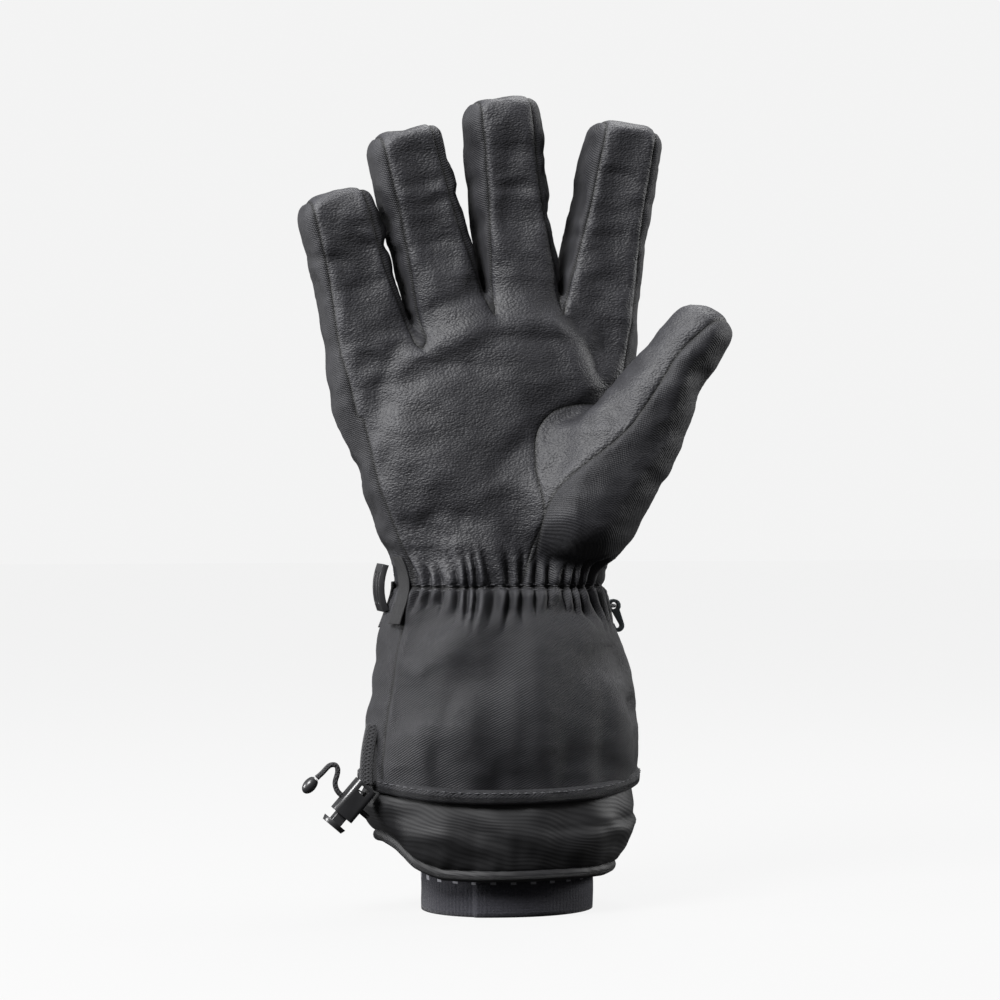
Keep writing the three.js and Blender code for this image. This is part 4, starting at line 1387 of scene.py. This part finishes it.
def swept(name, path, side, up, outline, slot, nodes, closed=False):
    """Sweeps an outline along a path. outline(k, angle) gives (side, up) offsets at path point k."""
    around = 14
    thread_step = 1.4  # how far the threads' coordinate goes from one outline point to the next
    angles = np.linspace(0, 2 * math.pi, around, endpoint=False)
    points, weave_at = [], []
    lengths = travelled(path)
    for k, centre in enumerate(path):
        for i, angle in enumerate(angles):
            a, b = outline(k, angle)
            points.append(centre + a * side[k] + b * up[k])
            weave_at.append((lengths[k], i * thread_step, 0))
    count = len(path)
    faces = []
    for k in range(count if closed else count - 1):
        here, there = k * around, (k + 1) % count * around
        for i in range(around):
            beside = (i + 1) % around
            faces.append((here + i, there + i, there + beside, here + beside))
    if not closed:
        faces.append(tuple(range(around)))
        faces.append(tuple(reversed(range((count - 1) * around, count * around))))
    weave = np.array(weave_at)[[i for face in faces for i in face]]
    return finished(name, np.array(points), turned_out(np.array(points), faces), slot, nodes, weave)


def turned_out(points, faces):
    """Faces of a closed body, all turned outwards."""
    fans, _ = triangles(faces)
    a, b, c = (points[fans[:, k]] for k in range(3))
    volume = (np.cross(a, b) * c).sum()
    return faces if volume > 0 else [tuple(reversed(face)) for face in faces]


def tube(name, outer_rows, inner_rows, slot, nodes):
    """A closed sleeve on the cuff, from rings of points. Both lists of rows run up from its lower rim."""
    rows, around = outer_rows.shape[:2]
    points = np.concatenate([outer_rows.reshape(-1, 3), inner_rows.reshape(-1, 3)])
    layer = rows * around
    faces, weave = [], []
    middle_row = outer_rows[rows // 2]
    arc = travelled(np.concatenate([middle_row, middle_row[:1]]))
    heights = outer_rows[:, :, 2]

    def add(cells):
        """A face from (side, row, column) of its corners; side 1 is the inner one."""
        faces.append(tuple(side * layer + j * around + i % around for side, j, i in cells))
        weave.extend((arc[i], heights[j, i % around], 0) for _, j, i in cells)

    for i in range(around):
        for j in range(rows - 1):
            add([(0, j, i), (0, j, i + 1), (0, j + 1, i + 1), (0, j + 1, i)])
            add([(1, j + 1, i), (1, j + 1, i + 1), (1, j, i + 1), (1, j, i)])
        add([(1, 0, i), (1, 0, i + 1), (0, 0, i + 1), (0, 0, i)])
        top = rows - 1
        add([(0, top, i), (0, top, i + 1), (1, top, i + 1), (1, top, i)])
    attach(finished(name, points, faces, slot, nodes, np.array(weave)), "cuff")


def ring_places(ring, angles):
    """Points of a CAD ring at angles in degrees."""
    centre, radii, heights = ring
    radius, height = around_trip(radii, angles), around_trip(heights, angles)
    turn = np.radians(angles)
    return np.stack([centre + radius * np.cos(turn), radius * np.sin(turn), height], 1)


def outward(angles):
    """Level directions away from the middle, at angles in degrees."""
    turn = np.radians(angles)
    return np.stack([np.cos(turn), np.sin(turn), 0 * turn], 1)


def hoop(name, angles, path, outline, slot, nodes, closed=True):
    """A cord or band round the cuff, along a path that is given at angles in degrees."""
    up = np.tile([0.0, 0, 1], (len(angles), 1))
    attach(swept(name, path, outward(angles), up, outline, slot, nodes, closed), "cuff")


def hem_binding():
    """The tape round the hem. Gives its middle line."""
    angles = np.linspace(0, 360, 240, endpoint=False)
    path = ring_places(HEM, angles)
    half_depth, half_height = 1.9, 2.9
    puckers = 0.22 * noise_at(path, 4, 21)
    path = path + outward(angles) * (0.5 + 0.5 * noise_at(path, 16, 22))[:, None]

    def outline(k, angle):
        a, b = rounded(half_depth, half_height, angle, 2.5)
        return a * (1 + puckers[k]), b

    hoop("hem_tape", angles, path, outline, "twill", ["hem_binding"])
    return path


CHANNEL = node_ring("skirt_channel")
CORD_EXIT = CHANNEL[2].argmax() * 360 / len(CHANNEL[2])  # the channel is highest where its cord comes out


def channel_places(angles):
    """The channel's middle line. It drops quickly in front of the cord's exit and slowly behind it."""
    away = degrees_from(CORD_EXIT, angles)
    places = ring_places(CHANNEL, angles)
    in_front, behind = 1.35, 0.45  # how quickly, compared with the CAD's channel
    places[:, 2] = around_trip(CHANNEL[2], CORD_EXIT + away * np.where(away > 0, in_front, behind))
    return places


def skirt():
    """Thin nylon that falls from inside the hem, stands out and is drawn in at its cord."""
    around, rows, thick = 220, 26, 0.6
    angles = np.linspace(0, 360, around, endpoint=False)
    out = outward(angles)
    foot = channel_places(angles) + out * 1.0 + [0, 0, 1.5]
    head = ring_places(HEM, angles) - out * 1.2 + [0, 0, 2]
    slant = np.stack([0 * angles, 0 * angles, 12 * np.sin(np.radians(angles + 40))], 1)
    layers = []
    for t in np.linspace(0, 1, rows):
        ring = mix(foot, head, t)
        wide = np.sin(math.pi / 2 * t) ** 0.5
        ring[:, :2] = mix(foot, head, wide)[:, :2]
        bulge = 3.2 * math.sin(math.pi * min(1, t / 0.85))
        ring = ring + out * bulge
        gathers = noise_at(ring, (5, 5, 14), 31)
        ripples = noise_at(ring + slant, (19, 19, 7), 32)
        tuck = bell(t - 0.52, 0.05) * smoothstep(-0.3, 0.2, noise_at(ring, 30, 33))
        free = math.sin(math.pi * min(1, t / 0.9))
        lift = 0.8 * (1 - t) ** 2 * gathers + 2.0 * free * ripples - 0.8 * tuck
        layers.append(ring + out * lift[:, None])
    outside = np.array(layers)
    inside = outside - out * thick
    tube("nylon_skirt", outside, inside, "skirt_nylon", ["snow_skirt"])


def channel():
    """The gathered nylon tube along the skirt's lower edge."""
    angles = np.linspace(0, 360, 300, endpoint=False)
    path = channel_places(angles)
    radius = 2.5
    gathers = 0.07 * noise_at(path, 3.5, 41)

    def outline(k, angle):
        size = radius * (1 + gathers[k])
        return size * math.cos(angle), size * math.sin(angle)

    hoop("cord_channel", angles, path, outline, "skirt_nylon", ["skirt_channel"])


def cord_loop():
    """The drawcord inside the channel, from one side of its exit all the way round to the other."""
    angles = CORD_EXIT + np.linspace(8, 352, 180)
    radius = 1.2

    def outline(_, angle):
        return rounded(radius, radius, angle, 2)

    hoop("cord_loop", angles, channel_places(angles), outline, "elastic", ["drawcord"], closed=False)


def knit_cuff():
    """The inner cuff, a knit tube with an overlapped seam at its front, on the little-finger side."""
    around, wall = 260, 1.6
    turn = np.linspace(0, 2 * math.pi, around, endpoint=False)
    top = node_box("inner_cuff")[1][2]
    levels = [3, 20, 40, top - 2]
    slices = np.array([(z, *node_slice(z, "inner_cuff")) for z in levels]).T
    from_seam = (turn - np.radians(238)) % (2 * math.pi)
    lap = 0.9 * smoothstep(0.0, 0.05, from_seam) * bell(from_seam, 0.22)
    layers = []
    for z in np.linspace(0, top, 30):
        centre, wide, deep = (spline(slices[0], column, z) for column in slices[1:])
        rows = []
        for inset in (0, wall):
            x, y = rounded(wide - inset, deep - inset, turn, 2.1)
            rows.append(np.stack([x + centre, y, 0 * turn + z], 1))
        slack = 0.5 * noise_at(rows[0], (14, 14, 9), 51) * min(1, z / 5)
        rows = [row + outward(np.degrees(turn)) * (lap + slack)[:, None] for row in rows]
        layers.append(rows)
    rows = np.array(layers)
    tube("knit_cuff", rows[:, 0], rows[:, 1], "knit", ["inner_cuff"])


def body_place(angle, z, out):
    """A point on the hand's or gauntlet's smooth skin, moved outwards."""
    centre, wide, deep, power = body_at(np.asarray(z, float))
    x, y = rounded(wide + out, deep + out, np.radians(angle), power)
    return np.stack([centre + x, y, z + 0 * x], -1)


def sewn_patch(name, angles, heights, out, thick, slot, nodes):
    """A flat sewn piece that lies on the cuff, over a grid of angles in degrees and heights."""
    grid_angle, grid_z = np.meshgrid(angles, heights)
    front = body_place(grid_angle.ravel(), grid_z.ravel(), out + thick)
    back = body_place(grid_angle.ravel(), grid_z.ravel(), out)
    layers, rim = two_layers(grid_faces(len(heights), len(angles)), len(front))
    faces = layers + rim
    flat = np.stack([np.radians(grid_angle.ravel()) * CUFF_RADIUS, grid_z.ravel(), 0 * grid_z.ravel()], 1)
    weave = np.concatenate([flat, flat])[[i for face in faces for i in face]]
    piece = finished(name, np.concatenate([front, back]), faces, slot, nodes, weave)
    bevel(piece, 0.25)
    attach(piece, "cuff")


def bevel(made, width):
    """Rounds an object's edges for good."""
    modifier = made.modifiers.new("edge", "BEVEL")
    modifier.width = width * MM
    modifier.segments = 2
    modifier.limit_method = "ANGLE"
    modifier.angle_limit = math.radians(35)
    modifier.harden_normals = False
    bake_modifiers(made)


def bake_modifiers(made):
    """Makes an object's modifiers part of its mesh."""
    graph = bpy.context.evaluated_depsgraph_get()
    done = bpy.data.meshes.new_from_object(made.evaluated_get(graph))
    made.modifiers.clear()
    made.data = done
    done.shade_smooth()


def tether():
    """The webbing strap that carries the cord lock, from the gauntlet to the top of the barrel."""
    co = node_points("lock_tether")
    middle = co.mean(0)
    along = np.linalg.svd(co - middle, full_matrices=False)[2][0]
    if along[2] > 0:  # it runs down, to the lock
        along = -along
    low, high = ((co - middle) @ along).min(), ((co - middle) @ along).max()
    # It lies flat on the gauntlet's palm side, so its width faces the palm.
    wide = unit(np.cross(along, [0, 1, 0]))
    thin = np.cross(along, wide)
    half_width, half_depth = 2.7, 0.9
    steps = np.linspace(low - 2, high + 1, 24)
    sway = 0.9 * np.sin(np.linspace(0, math.pi, len(steps)))
    path = middle + steps[:, None] * along - sway[:, None] * [1, 0.4, 0]
    side, up = np.tile(wide, (len(path), 1)), np.tile(thin, (len(path), 1))

    def outline(_, angle):
        return rounded(half_width, half_depth, angle, 3.5)

    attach(swept("tether", path, side, up, outline, "webbing", ["lock_tether"]), "cord_lock")


def smooth_copy(name, node, slot, body, edge=0.0, levels=0):
    """A copy of a moulded CAD piece with its edges rounded, or with its whole shape smoothed."""
    made = placed(name, frame["nodes"][node].data.copy())
    weld = made.modifiers.new("weld", "WELD")
    weld.merge_threshold = 0.02 * MM
    if levels:
        made.modifiers.new("smooth", "SUBSURF").levels = levels
    bake_modifiers(made)
    if edge:
        bevel(made, edge)
    co = mesh_points(made.data)
    store(made.data, "place", "POINT", co)
    corner = np.empty(len(made.data.loops), int)
    made.data.loops.foreach_get("vertex_index", corner)
    store(made.data, "weave", "CORNER", co[corner][:, [0, 2, 1]])
    dress(made, slot, [node])
    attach(made, body)


def fittings():
    """The buckle, hook, cord lock and cords."""
    smooth_copy("buckle", "strap_buckle", "black_plastic", "strap_buckle", edge=0.5)
    smooth_copy("hook", "clip_hook", "grey_plastic", "clip_hook", edge=0.45)
    smooth_copy("loop", "hook_loop", "webbing", "cuff", levels=2)
    smooth_copy("lock_barrel", "cord_lock_body", "black_plastic", "cord_lock", edge=0.45)
    smooth_copy("button", "lock_button", "black_plastic", "lock_button", edge=0.35)
    smooth_copy("cord_tail_end", "cord_end", "black_plastic", "cord_tail", levels=1)
    smooth_copy("cord_tail_loop", "drawcord_tail", "elastic", "cord_tail", levels=2)
    for node, slot in (("wrist_elastic", "elastic"), ("lock_spring", "spring_steel")):
        frame["nodes"][node].data.materials.clear()
        frame["nodes"][node].data.materials.append(MATERIALS[slot])


def wrist_pieces():
    """The strap across the wrist's back, and the blank label below it on the little-finger side."""
    low, high = node_box("wrist_strap")
    angles, heights = np.linspace(*STRAP_ANGLES, 60), np.linspace(low[2] + 0.4, high[2] - 0.4, 8)
    sewn_patch("back_strap", angles, heights, 1.0, 1.4, "webbing", ["wrist_strap"])
    low, high = node_box("side_label")
    angles, heights = np.linspace(193, 207, 10), np.linspace(low[2] + 2, high[2] + 6, 14)
    sewn_patch("blank_label", angles, heights, 1.2, 0.7, "label_tape", ["side_label"])


def stitch_row(name, path, normals):
    """Short rounded threads along a path on the cuff, each lifted onto the fabric."""
    length, gap, radius = 2.1, 1.1, 0.28
    lengths = travelled(path)
    places = np.arange(gap, lengths[-1] - length, length + gap)
    sides, rings = 6, 5
    points, faces = [], []
    for start in places:
        at = np.linspace(start, start + length, rings)
        line = np.stack([np.interp(at, lengths, path[:, k]) for k in range(3)], 1)
        normal = unit([np.interp(start, lengths, normals[:, k]) for k in range(3)])
        along = unit(line[-1] - line[0])
        across = np.cross(along, normal)
        base = len(points)
        for j, share in enumerate(np.linspace(0.04, 0.96, rings)):
            size = radius * math.sin(math.pi * share) ** 0.5
            lift = radius * 0.5 * math.sin(math.pi * share)
            for i in range(sides):
                turn = 2 * math.pi * i / sides
                offset = size * (math.cos(turn) * across + math.sin(turn) * normal) + lift * normal
                points.append(line[j] + offset)
        faces += grid_faces(rings, sides, base, closed=True)
        faces.append(tuple(base + i for i in reversed(range(sides))))
        faces.append(tuple(base + (rings - 1) * sides + i for i in range(sides)))
    piece = finished(name, np.array(points), faces, "elastic", [])
    piece.data.materials[0] = MATERIALS["thread"]
    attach(piece, "cuff")


def on_shell(points):
    """The nearest places on the finished shell, and its normals there."""
    found = [shell_tree.find_nearest(Vector(p)) for p in np.asarray(points).tolist()]
    return np.array([hit[0] for hit in found]), np.array([hit[1] for hit in found])


def stitching(binding):
    """The double row at the wrist's front, and the row along the hem's binding."""
    for k, lift in enumerate((-1.0, 1.0)):
        angles = np.linspace(208, 368, 500)
        path, normals = on_shell(body_place(angles, STITCH_Z + lift, 0))
        stitch_row(f"wrist_stitches_{k}", path, normals)
    angles = np.linspace(0, 360, len(binding), endpoint=False)
    line = binding + outward(angles) * 1.75 + [0, 0, 1.6]
    stitch_row("hem_stitches", line, outward(angles))


binding_path = hem_binding()
skirt()
channel()
cord_loop()
knit_cuff()
wrist_pieces()
tether()
fittings()
stitching(binding_path)

# ---------- studio ----------


PALE = 0.9  # how bright the background is


def aimed(made, place, target):
    """Puts an object at a place, looking at a target."""
    made.location = place
    made.rotation_euler = (target - Vector(place)).to_track_quat("-Z", "Y").to_euler()


def area_light(name, place, target, size, power):
    light = bpy.data.lights.new(name, "AREA")
    light.size = size
    light.energy = power
    aimed(placed(name, light), place, target)


def floor():
    """A pale floor. Its own glow, which only the camera sees, keeps it as even as the background."""
    reach = 6000
    corners_of_floor = [(-reach, -reach, 0), (reach, -reach, 0), (reach, reach, 0), (-reach, reach, 0)]
    made = mesh_object("floor", corners_of_floor, [(0, 1, 2, 3)])
    paper = Finish("paper")
    paper.set(colour=(0.025, 0.025, 0.025, 1), rough=0.95, gloss=0.0)
    seen = paper.maths("MULTIPLY", paper.node("LightPath")[0], PALE - 0.02)
    paper.surface.inputs["Emission Color"].default_value = (1, 1, 1, 1)
    paper.tree.links.new(seen, paper.surface.inputs["Emission Strength"])
    made.data.materials.append(paper.material)


def surroundings(glow):
    """A room that lights evenly with one strength and looks pale to the camera."""
    world = bpy.data.worlds.new("world")
    world.use_nodes = True
    nodes, links = world.node_tree.nodes, world.node_tree.links
    path, strength = nodes.new("ShaderNodeLightPath"), nodes.new("ShaderNodeMapRange")
    strength.inputs["To Min"].default_value = glow
    strength.inputs["To Max"].default_value = PALE
    links.new(path.outputs["Is Camera Ray"], strength.inputs["Value"])
    nodes["Background"].inputs["Color"].default_value = (1, 1, 1, 1)
    links.new(strength.outputs[0], nodes["Background"].inputs["Strength"])
    bpy.context.scene.world = world


def studio():
    """The camera, the lights and the pale background. Lengths here are in metres."""
    target = Vector((CUFF_X * MM, 0, 0.503 * cad_box[1][2]))
    span = 0.4  # the width that the picture shows at the glove
    distance = 1.1
    turn = math.radians(-12)
    lens = bpy.data.cameras.new("camera")
    lens.lens = lens.sensor_width * distance / span
    lens.shift_x = -0.007  # the share of the picture's width that its middle moves
    camera = placed("camera", lens)
    aimed(camera, target + Vector((math.sin(turn), -math.cos(turn), 0)) * distance, target)
    bpy.context.scene.camera = camera
    floor()
    surroundings(0.18)
    area_light("key", (-0.75, -0.6, 0.95), target, size=0.5, power=36)
    area_light("top", (0.2, 0.25, 1.2), target, size=0.5, power=14)
    area_light("left", (-1.1, 0.1, 0.3), target, size=0.3, power=12)
    area_light("right", (1.0, 0.05, 0.4), target, size=0.3, power=9)
    bpy.context.scene.view_settings.view_transform = "Standard"


studio()
